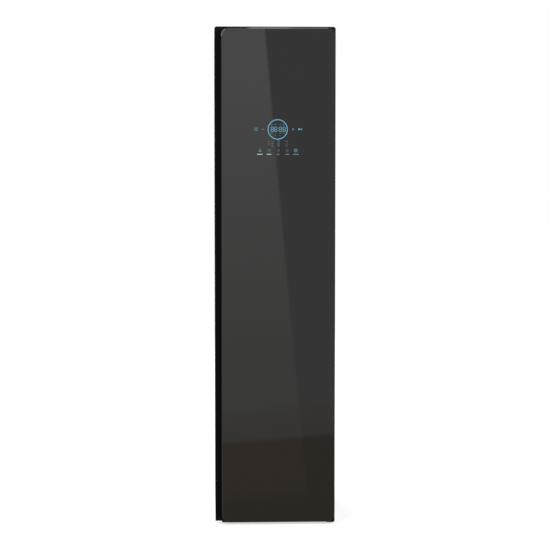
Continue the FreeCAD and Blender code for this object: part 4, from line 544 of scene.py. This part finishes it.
def make_function_icons(teal, dim):
    """Five generic icons: a hanger, steam, a sun, a drop and a clock."""
    def placed(points, x):
        return [(x + across, ICON_Z + up) for across, up in points]

    hanger = [loop(*placed(HANGER_SHOULDERS, HANGER_X)), line(*placed(HANGER_BAR, HANGER_X)),
              line(*placed(HANGER_HOOK, HANGER_X))]
    clock = [circle(CLOCK_X, ICON_Z, CLOCK_R), line(*placed(CLOCK_HANDS, CLOCK_X))]
    strokes("display_icons", hanger + clock, ICON_WIDTH, teal)

    wave = [(STEAM_WAVE * math.sin(STEAM_STEP * k), STEAM_LOW + STEAM_STEP * k) for k in range(STEAM_POINTS)]
    steam = [line(*placed(wave, x)) for x in STEAM_X]
    sun = [circle(SUN_X, ICON_Z, SUN_DISC, 16)]
    for k in range(8):
        c, s = math.cos(math.pi * k / 4), math.sin(math.pi * k / 4)
        sun.append(line(*placed([(r * c, r * s) for r in SUN_RAY], SUN_X)))
    drop = water_drop(WATER_X, ICON_Z - WATER_DOWN, WATER_R)
    strokes("display_icons_dim", steam + sun + [drop], ICON_THIN, dim)


# ---------------------------------------------------------------- details inside
def new_mesh(name, points, faces, material, smooth=False):
    """A new piece of points and faces, with one material."""
    mesh = bpy.data.meshes.new(name)
    mesh.from_pydata([tuple(p) for p in points], [], faces)
    mesh.materials.append(material)
    for face in mesh.polygons:
        face.use_smooth = smooth
    piece = bpy.data.objects.new(name, mesh)
    bpy.context.scene.collection.objects.link(piece)
    return piece


GASKET_CORNER, GASKET_STEPS = 14.0, 6
GASKET_WIDTH = 13.0
GASKET_CREASE = 50.0                    # faces that meet at more degrees than this keep a sharp edge
# Half of the seal's section, from its foot to its flat face: (inwards, out of the door).
GASKET_PROFILE = ((0.4, 0.0), (0.0, 0.7), (0.3, 1.6), (2.4, 2.3), (3.4, 2.9), (3.0, 3.6), (1.8, 4.2),
                  (1.5, 5.2), (1.6, 6.7), (2.3, 7.5), (3.4, 7.7))


def make_gasket():
    """The door's magnetic seal: a base, two thin bellows folds and a flat-faced magnet pocket."""
    low, high = (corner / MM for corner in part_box("door_gasket"))
    section = list(GASKET_PROFILE) + [(GASKET_WIDTH - u, v) for u, v in reversed(GASKET_PROFILE)]
    points = []
    a, z0, z1 = high.x - GASKET_CORNER, low.z + GASKET_CORNER, high.z - GASKET_CORNER
    for x, z, start in ((a, z1, 0), (-a, z1, 90), (-a, z0, 180), (a, z0, 270)):
        for k in range(GASKET_STEPS + 1):
            turn = math.radians(start + 90 * k / GASKET_STEPS)
            for inwards, out in section:
                r = GASKET_CORNER - inwards
                points.append(Vector((x + r * math.cos(turn), low.y + out, z + r * math.sin(turn))) * MM)
    n, rings = len(section), 4 * (GASKET_STEPS + 1)
    faces = []
    for ring in range(rings):
        here, there = ring * n, (ring + 1) % rings * n
        for k in range(n):
            after = (k + 1) % n
            faces.append((here + k, here + after, there + after, there + k))
    piece = new_mesh("gasket_bellows", points, faces, FINISHES["gasket_rubber"], smooth=True)
    piece.data.set_sharp_from_angle(angle=math.radians(GASKET_CREASE))
    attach(piece, "door")
    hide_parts("door_gasket")


def boxes_mesh(name, blocks, material):
    """One mesh of closed blocks, each given by its low and high corners in mm."""
    points, faces = [], []
    for low, high in blocks:
        base = len(points)
        for x in (low[0], high[0]):
            for y in (low[1], high[1]):
                points += [Vector((x * MM, y * MM, z * MM)) for z in (low[2], high[2])]
        faces += [tuple(base + k for k in face) for face in
                  ((0, 1, 3, 2), (4, 6, 7, 5), (0, 4, 5, 1), (2, 3, 7, 6), (0, 2, 6, 4), (1, 5, 7, 3))]
    return new_mesh(name, points, faces, material)


GAUZE_PITCH, GAUZE_THREAD, GAUZE_THICK = 2.1, 0.45, 0.22
FILTER_RIM, FILTER_GRIP_HALF, FILTER_RIB = 5.2, 9.2, 3.0    # what the gauze keeps clear of, and lies on


def make_filter_gauze():
    """The lint filter's woven gauze, which lies on its ribs on both sides of the grip."""
    low, high = (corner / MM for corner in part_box("lint_filter"))
    middle = (low.x + high.x) / 2
    y0, y1, z = low.y + FILTER_RIM, high.y - FILTER_RIM, low.z + FILTER_RIB
    blocks = []
    for x0, x1 in ((low.x + FILTER_RIM, middle - FILTER_GRIP_HALF),
                   (middle + FILTER_GRIP_HALF, high.x - FILTER_RIM)):
        for k in range(int((x1 - x0) / GAUZE_PITCH)):
            x = x0 + (k + 0.5) * GAUZE_PITCH
            blocks.append(((x, y0, z), (x + GAUZE_THREAD, y1, z + GAUZE_THICK)))
        for k in range(int((y1 - y0) / GAUZE_PITCH)):
            y = y0 + (k + 0.5) * GAUZE_PITCH
            blocks.append(((x0, y, z + GAUZE_THICK), (x1, y + GAUZE_THREAD, z + 2 * GAUZE_THICK)))
    piece = boxes_mesh("filter_gauze", blocks, moulded("gauze_thread", (0.05, 0.052, 0.055), 0.5))
    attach(piece, "lint_filter")


LID_RISE = 1.5 * MM                     # from the lid's plate to the top of its hinge arm
LID_MARK_WIDTH, DROP_R, DROP_STEP, DROP_FILL = 1.6, 9.0, 1.2, 8
ARROW_Z, ARROW_HEAD = (-34.0, -22.0), 5.0
SCALE_WIDTH, SCALE_X, SCALE_LOW, SCALE_STEP, SCALE_MARKS = 1.2, -60.0, -95.0, 19.0, 11
SCALE_SHORT, SCALE_LONG, SCALE_GROUP = 12.0, 22.0, 5


def arrow(tail, tip):
    """An arrow along the middle line, from its tail's height to its tip's."""
    head = tip + math.copysign(ARROW_HEAD, tail - tip)
    return [line((0.0, tail), (0.0, tip)), line((-ARROW_HEAD, head), (0.0, tip), (ARROW_HEAD, head))]


def make_tank_marks():
    """A drop and an arrow on each lid, the drop filled for fresh water, and a scale on each tank's front."""
    pale, ink = painted("mark_white", (0.7, 0.71, 0.72), 0.5), painted("mark_grey", (0.32, 0.33, 0.34), 0.5)
    for tank, rings, ends in (("fresh", DROP_FILL, ARROW_Z), ("drain", 1, ARROW_Z[::-1])):
        low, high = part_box(f"{tank}_tank_lid")
        top = ((low.x + high.x) / 2, (low.y + high.y) / 2, high.z - LID_RISE)
        marks = [water_drop(0.0, 0.0, DROP_R - DROP_STEP * k) for k in range(rings)] + arrow(*ends)
        strokes(f"{tank}_lid_marks", marks, LID_MARK_WIDTH, pale, f"{tank}_tank_lid",
                top, lying=True)

        low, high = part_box(f"{tank}_tank")
        front = ((low.x + high.x) / 2, low.y, (low.z + high.z) / 2)
        scale = []
        for k in range(SCALE_MARKS):
            z, length = SCALE_LOW + SCALE_STEP * k, SCALE_SHORT if k % SCALE_GROUP else SCALE_LONG
            scale.append(line((SCALE_X, z), (SCALE_X + length, z)))
        strokes(f"{tank}_level_scale", scale, SCALE_WIDTH, ink, f"{tank}_tank", front)


# ---------------------------------------------------------------- studio
def light_path_mix(tree, seen, unseen):
    """Gives `seen` to camera, glossy and transmission rays and `unseen` to the rest."""
    path = tree.nodes.new("ShaderNodeLightPath")
    rays = [path.outputs[n] for n in ("Is Camera Ray", "Is Glossy Ray", "Is Transmission Ray")]
    total = rays[0]
    for ray in rays[1:]:
        both = tree.nodes.new("ShaderNodeMath")
        both.operation = "MAXIMUM"
        tree.links.new(total, both.inputs[0])
        tree.links.new(ray, both.inputs[1])
        total = both.outputs[0]
    mix = tree.nodes.new("ShaderNodeMixShader")
    tree.links.new(total, mix.inputs[0])
    tree.links.new(unseen, mix.inputs[1])
    tree.links.new(seen, mix.inputs[2])
    return mix.outputs[0]


AMBIENT = 0.5
FLOOR_HALF, FLOOR_TONE, FLOOR_GLOW = 30.0, 0.8, 0.62
STUDIO_AIM = (0, 0, 1.0)
STUDIO_LAMPS = (("key", (-3.2, -4.4, 3.8), 3.0, 150.0),       # name, place, side in metres, watts
                ("fill", (4.4, -2.8, 2.6), 2.4, 70.0),
                ("rear", (-1.5, 4.8, 3.4), 2.4, 90.0))


def make_world():
    """White behind the object, and a weaker white light on it from all round."""
    world = bpy.data.worlds.new("studio")
    world.use_nodes = True
    tree = world.node_tree
    seen, unseen = (tree.nodes.new("ShaderNodeBackground") for _ in range(2))
    seen.inputs["Color"].default_value = (1, 1, 1, 1)
    unseen.inputs["Color"].default_value = (1, 1, 1, 1)
    unseen.inputs["Strength"].default_value = AMBIENT
    out = light_path_mix(tree, seen.outputs[0], unseen.outputs[0])
    tree.links.new(out, tree.nodes["World Output"].inputs["Surface"])
    bpy.context.scene.world = world


def make_floor():
    """A wide white floor that keeps the object's shadow."""
    half = FLOOR_HALF
    material = bpy.data.materials.new("studio_floor")
    material.use_nodes = True
    tree = material.node_tree
    tree.nodes.remove(tree.nodes["Principled BSDF"])
    kinds = ("BsdfDiffuse", "Emission", "Emission")
    diffuse, glow, dark = (tree.nodes.new(f"ShaderNode{kind}") for kind in kinds)
    diffuse.inputs["Color"].default_value = (FLOOR_TONE, FLOOR_TONE, FLOOR_TONE, 1)
    glow.inputs["Strength"].default_value = FLOOR_GLOW
    dark.inputs["Strength"].default_value = 0.0
    both = tree.nodes.new("ShaderNodeAddShader")
    tree.links.new(diffuse.outputs[0], both.inputs[0])
    tree.links.new(light_path_mix(tree, glow.outputs[0], dark.outputs[0]), both.inputs[1])
    tree.links.new(both.outputs[0], tree.nodes["Material Output"].inputs["Surface"])
    corners = [(-half, -half, 0), (half, -half, 0), (half, half, 0), (-half, half, 0)]
    floor = new_mesh("studio_floor", corners, [(0, 1, 2, 3)], material)
    floor.visible_glossy = False        # reflections show the world's even white there


def make_lamps():
    """Three large square lamps, all turned to the middle of the object."""
    for name, place, side, power in STUDIO_LAMPS:
        data = bpy.data.lights.new(name, "AREA")
        data.size = side
        data.energy = power
        lamp = bpy.data.objects.new(name, data)
        lamp.location = place
        lamp.rotation_mode = "QUATERNION"
        lamp.rotation_quaternion = (Vector(STUDIO_AIM) - Vector(place)).to_track_quat("-Z", "Y")
        bpy.context.scene.collection.objects.link(lamp)


# ---------------------------------------------------------------- what the glass mirrors
GLASS_MIRROR = ((GLASS_IOR - 1) / (GLASS_IOR + 1)) ** 2    # the share that glass mirrors head-on
CARD_AWAY = 1.5                         # the card's distance before the glass, in metres
CARD_SPARE = 0.5                        # how far the card fades out beyond what the main view mirrors
CARD_FULL = 2.0                         # the card's strength where its colour is white
# Places in the frame, in pixels: the pane's corners, the window's edge and the mirrored floor's far edge.
PANE_PX = ((221.0, 28.0), (336.0, 523.0))
WINDOW_EDGE_PX = ((264.9, 28.0), (283.5, 240.0), (306.9, 490.0))
WINDOW_SOFT_PX = 1.2
FLOOR_EDGE_PX = ((228.0, 443.0), (328.0, 434.5))

# The tones from 0 to 255 that the glass shows of the room: a brown floor, a skirting, a window and a wall.
# The room is darker right of the window's edge, and those tones end in SHADE.
ROOM_FLOOR_NEAR, ROOM_FLOOR, ROOM_FLOOR_SHADE = (44, 41, 36), (48, 43, 39), (44, 40, 36)
ROOM_SKIRTING, ROOM_SKIRTING_SHADE = (54, 53, 51), (51, 50, 48)
ROOM_SKIRTING_RIM, ROOM_SKIRTING_RIM_SHADE = (56, 55, 53), (53, 52, 50)
ROOM_WINDOW_LOW, ROOM_WINDOW_HIGH, ROOM_WALL = (58, 58, 57), (71, 71, 71), (53.5, 53.5, 53.5)
# Heights over the far edge of the mirrored floor, in pixels.
FLOOR_NEAR, FLOOR_MIDDLE, FLOOR_SOFT = -62.0, -46.0, 2.5
SKIRTING_RIM, SKIRTING_TOP, SILL, WINDOW_TOP = 27.0, 36.0, 90.0, 370.0
WINDOW_SIDE = ((FLOOR_NEAR, ROOM_FLOOR_NEAR), (FLOOR_MIDDLE, ROOM_FLOOR), (-FLOOR_SOFT, ROOM_FLOOR),
               (FLOOR_SOFT, ROOM_SKIRTING), (SKIRTING_RIM, ROOM_SKIRTING_RIM),
               (SKIRTING_TOP, ROOM_WINDOW_LOW), (SILL, ROOM_WINDOW_LOW), (WINDOW_TOP, ROOM_WINDOW_HIGH))
WALL_SIDE = ((FLOOR_NEAR, ROOM_FLOOR_NEAR), (FLOOR_MIDDLE, ROOM_FLOOR_SHADE), (-FLOOR_SOFT, ROOM_FLOOR_SHADE),
             (FLOOR_SOFT, ROOM_SKIRTING_SHADE), (SKIRTING_RIM, ROOM_SKIRTING_RIM_SHADE),
             (SKIRTING_TOP, ROOM_WALL))


def shown(tone):
    """The light, over CARD_FULL, that the glass shows as that tone from 0 to 255."""
    linear = [((c / 255 + 0.055) / 1.055) ** 2.4 for c in tone]
    return [(c - GLASS_BLACK) / GLASS_MIRROR / CARD_FULL for c in linear]


def on_glass(pixel):
    """The point of the glass's front plane that a pixel of the frame shows."""
    camera = bpy.context.scene.camera
    right, up = (camera.rotation_quaternion @ Vector(v) for v in ((1, 0, 0), (0, 1, 0)))
    forward = camera.rotation_quaternion @ Vector((0, 0, -1))
    x, z = (pixel[0] - FRAME_PX / 2) / FOCAL_PX, (FRAME_PX / 2 - pixel[1]) / FOCAL_PX
    ray = forward + right * x + up * z
    return camera.location + ray * ((GLASS_FRONT - camera.location.y) / ray.y)


def mirrored(pixel, facing=(0, -1, 0)):
    """Where a face of the glass sends the ray of a pixel, on the cards' plane."""
    start = on_glass(pixel)
    ray = (start - bpy.context.scene.camera.location).reflect(Vector(facing))
    return start - ray * (CARD_AWAY / ray.y)


def through(points):
    """The coefficients of x = a + b z + c z^2 through three points."""
    (x0, z0), (x1, z1), (x2, z2) = [(p.x, p.z) for p in points]
    first, second = (x1 - x0) / (z1 - z0), (x2 - x1) / (z2 - z1)
    c = (second - first) / (z2 - z0)
    b = first - c * (z0 + z1)
    return x0 - b * z0 - c * z0 * z0, b, c


def make_reflections():
    """A card before the glass that only reflections see: a soft window, a pale wall and a brown floor."""
    (pane_left, pane_top), (pane_right, pane_bottom) = PANE_PX
    low, high = mirrored((pane_left, pane_bottom)), mirrored((pane_right, pane_top))
    s = Shader("card_room", (0, 0, 0), 1.0, Specular_IOR_Level=0.0, Emission_Strength=CARD_FULL)
    x, _, z = s.node("ShaderNodeSeparateXYZ", {"Vector": s.place}).outputs
    pixel = (high.x - low.x) / (pane_right - pane_left)

    left, right = (mirrored(p) for p in FLOOR_EDGE_PX)
    slope = (right.z - left.z) / (right.x - left.x)
    level = left.z - slope * left.x
    height = s.math("MULTIPLY_ADD", x, -slope, z)
    window, wall = (s.ramp(height, [(level + rise * pixel, shown(tone)) for rise, tone in side])
                    for side in (WINDOW_SIDE, WALL_SIDE))
    a, b, c = through([mirrored(p) for p in WINDOW_EDGE_PX])
    edge = s.math("MULTIPLY_ADD", z, s.math("MULTIPLY_ADD", z, c, b), a)
    soft = WINDOW_SOFT_PX * pixel
    beyond = s.ranged(s.math("SUBTRACT", x, edge), 0.0, 1.0, -soft, soft)
    s.set("Emission Color", s.blended(beyond, window, wall))

    x0, x1, z0, z1 = low.x - CARD_SPARE, high.x + CARD_SPARE, low.z - CARD_SPARE, high.z + CARD_SPARE
    across = s.math("MULTIPLY", s.ranged(x, 0.0, 1.0, x0, low.x), s.ranged(x, 1.0, 0.0, high.x, x1))
    up = s.math("MULTIPLY", s.ranged(z, 0.0, 1.0, z0, low.z), s.ranged(z, 1.0, 0.0, high.z, z1))
    s.set("Alpha", s.math("MULTIPLY", across, up))

    corners = [(x0, low.y, z0), (x1, low.y, z0), (x1, low.y, z1), (x0, low.y, z1)]
    only_mirrored(new_mesh("card_room", corners, [(0, 1, 2, 3)], s.material))


def only_mirrored(card):
    """Hides a card from all but reflections."""
    for ray in ("camera", "diffuse", "transmission", "shadow"):
        setattr(card, f"visible_{ray}", False)


TOP_BEVEL = (0, -3, 1)                  # the way the glass's top bevel faces
BEVEL_ROW = 27.0                        # the bevel's row of the frame
LAMP_FULL = 9.0
LAMP_HALF = 0.06
# The lamp's light along the bevel: (column of the frame, share of LAMP_FULL).
LAMP_PX = ((244.0, 0.0), (252.0, 1.0), (286.0, 1.0), (294.0, 0.6), (330.0, 0.5), (334.0, 0.0))


def make_ceiling_lamp():
    """A long lamp that only the top bevel mirrors: bright at its middle and dimmer on the right."""
    s = Shader("card_lamp", (0, 0, 0), 1.0, Specular_IOR_Level=0.0, Emission_Strength=LAMP_FULL)
    points = [(mirrored((column, BEVEL_ROW), TOP_BEVEL), share) for column, share in LAMP_PX]
    x = s.node("ShaderNodeSeparateXYZ", {"Vector": s.place}).outputs[0]
    s.set("Emission Color", s.ramp(x, [(point.x, (share,) * 3) for point, share in points]))
    first, last, half = points[0][0], points[-1][0], Vector((0, 0, LAMP_HALF))
    corners = [first - half, last - half, last + half, first + half]
    only_mirrored(new_mesh("card_lamp", corners, [(0, 1, 2, 3)], s.material))


# ---------------------------------------------------------------- put together
bpy.context.scene.view_settings.view_transform = "Standard"
make_camera()
dress_nodes()
make_display()
make_gasket()
make_filter_gauze()
make_tank_marks()
make_world()
make_floor()
make_lamps()
make_reflections()
make_ceiling_lamp()
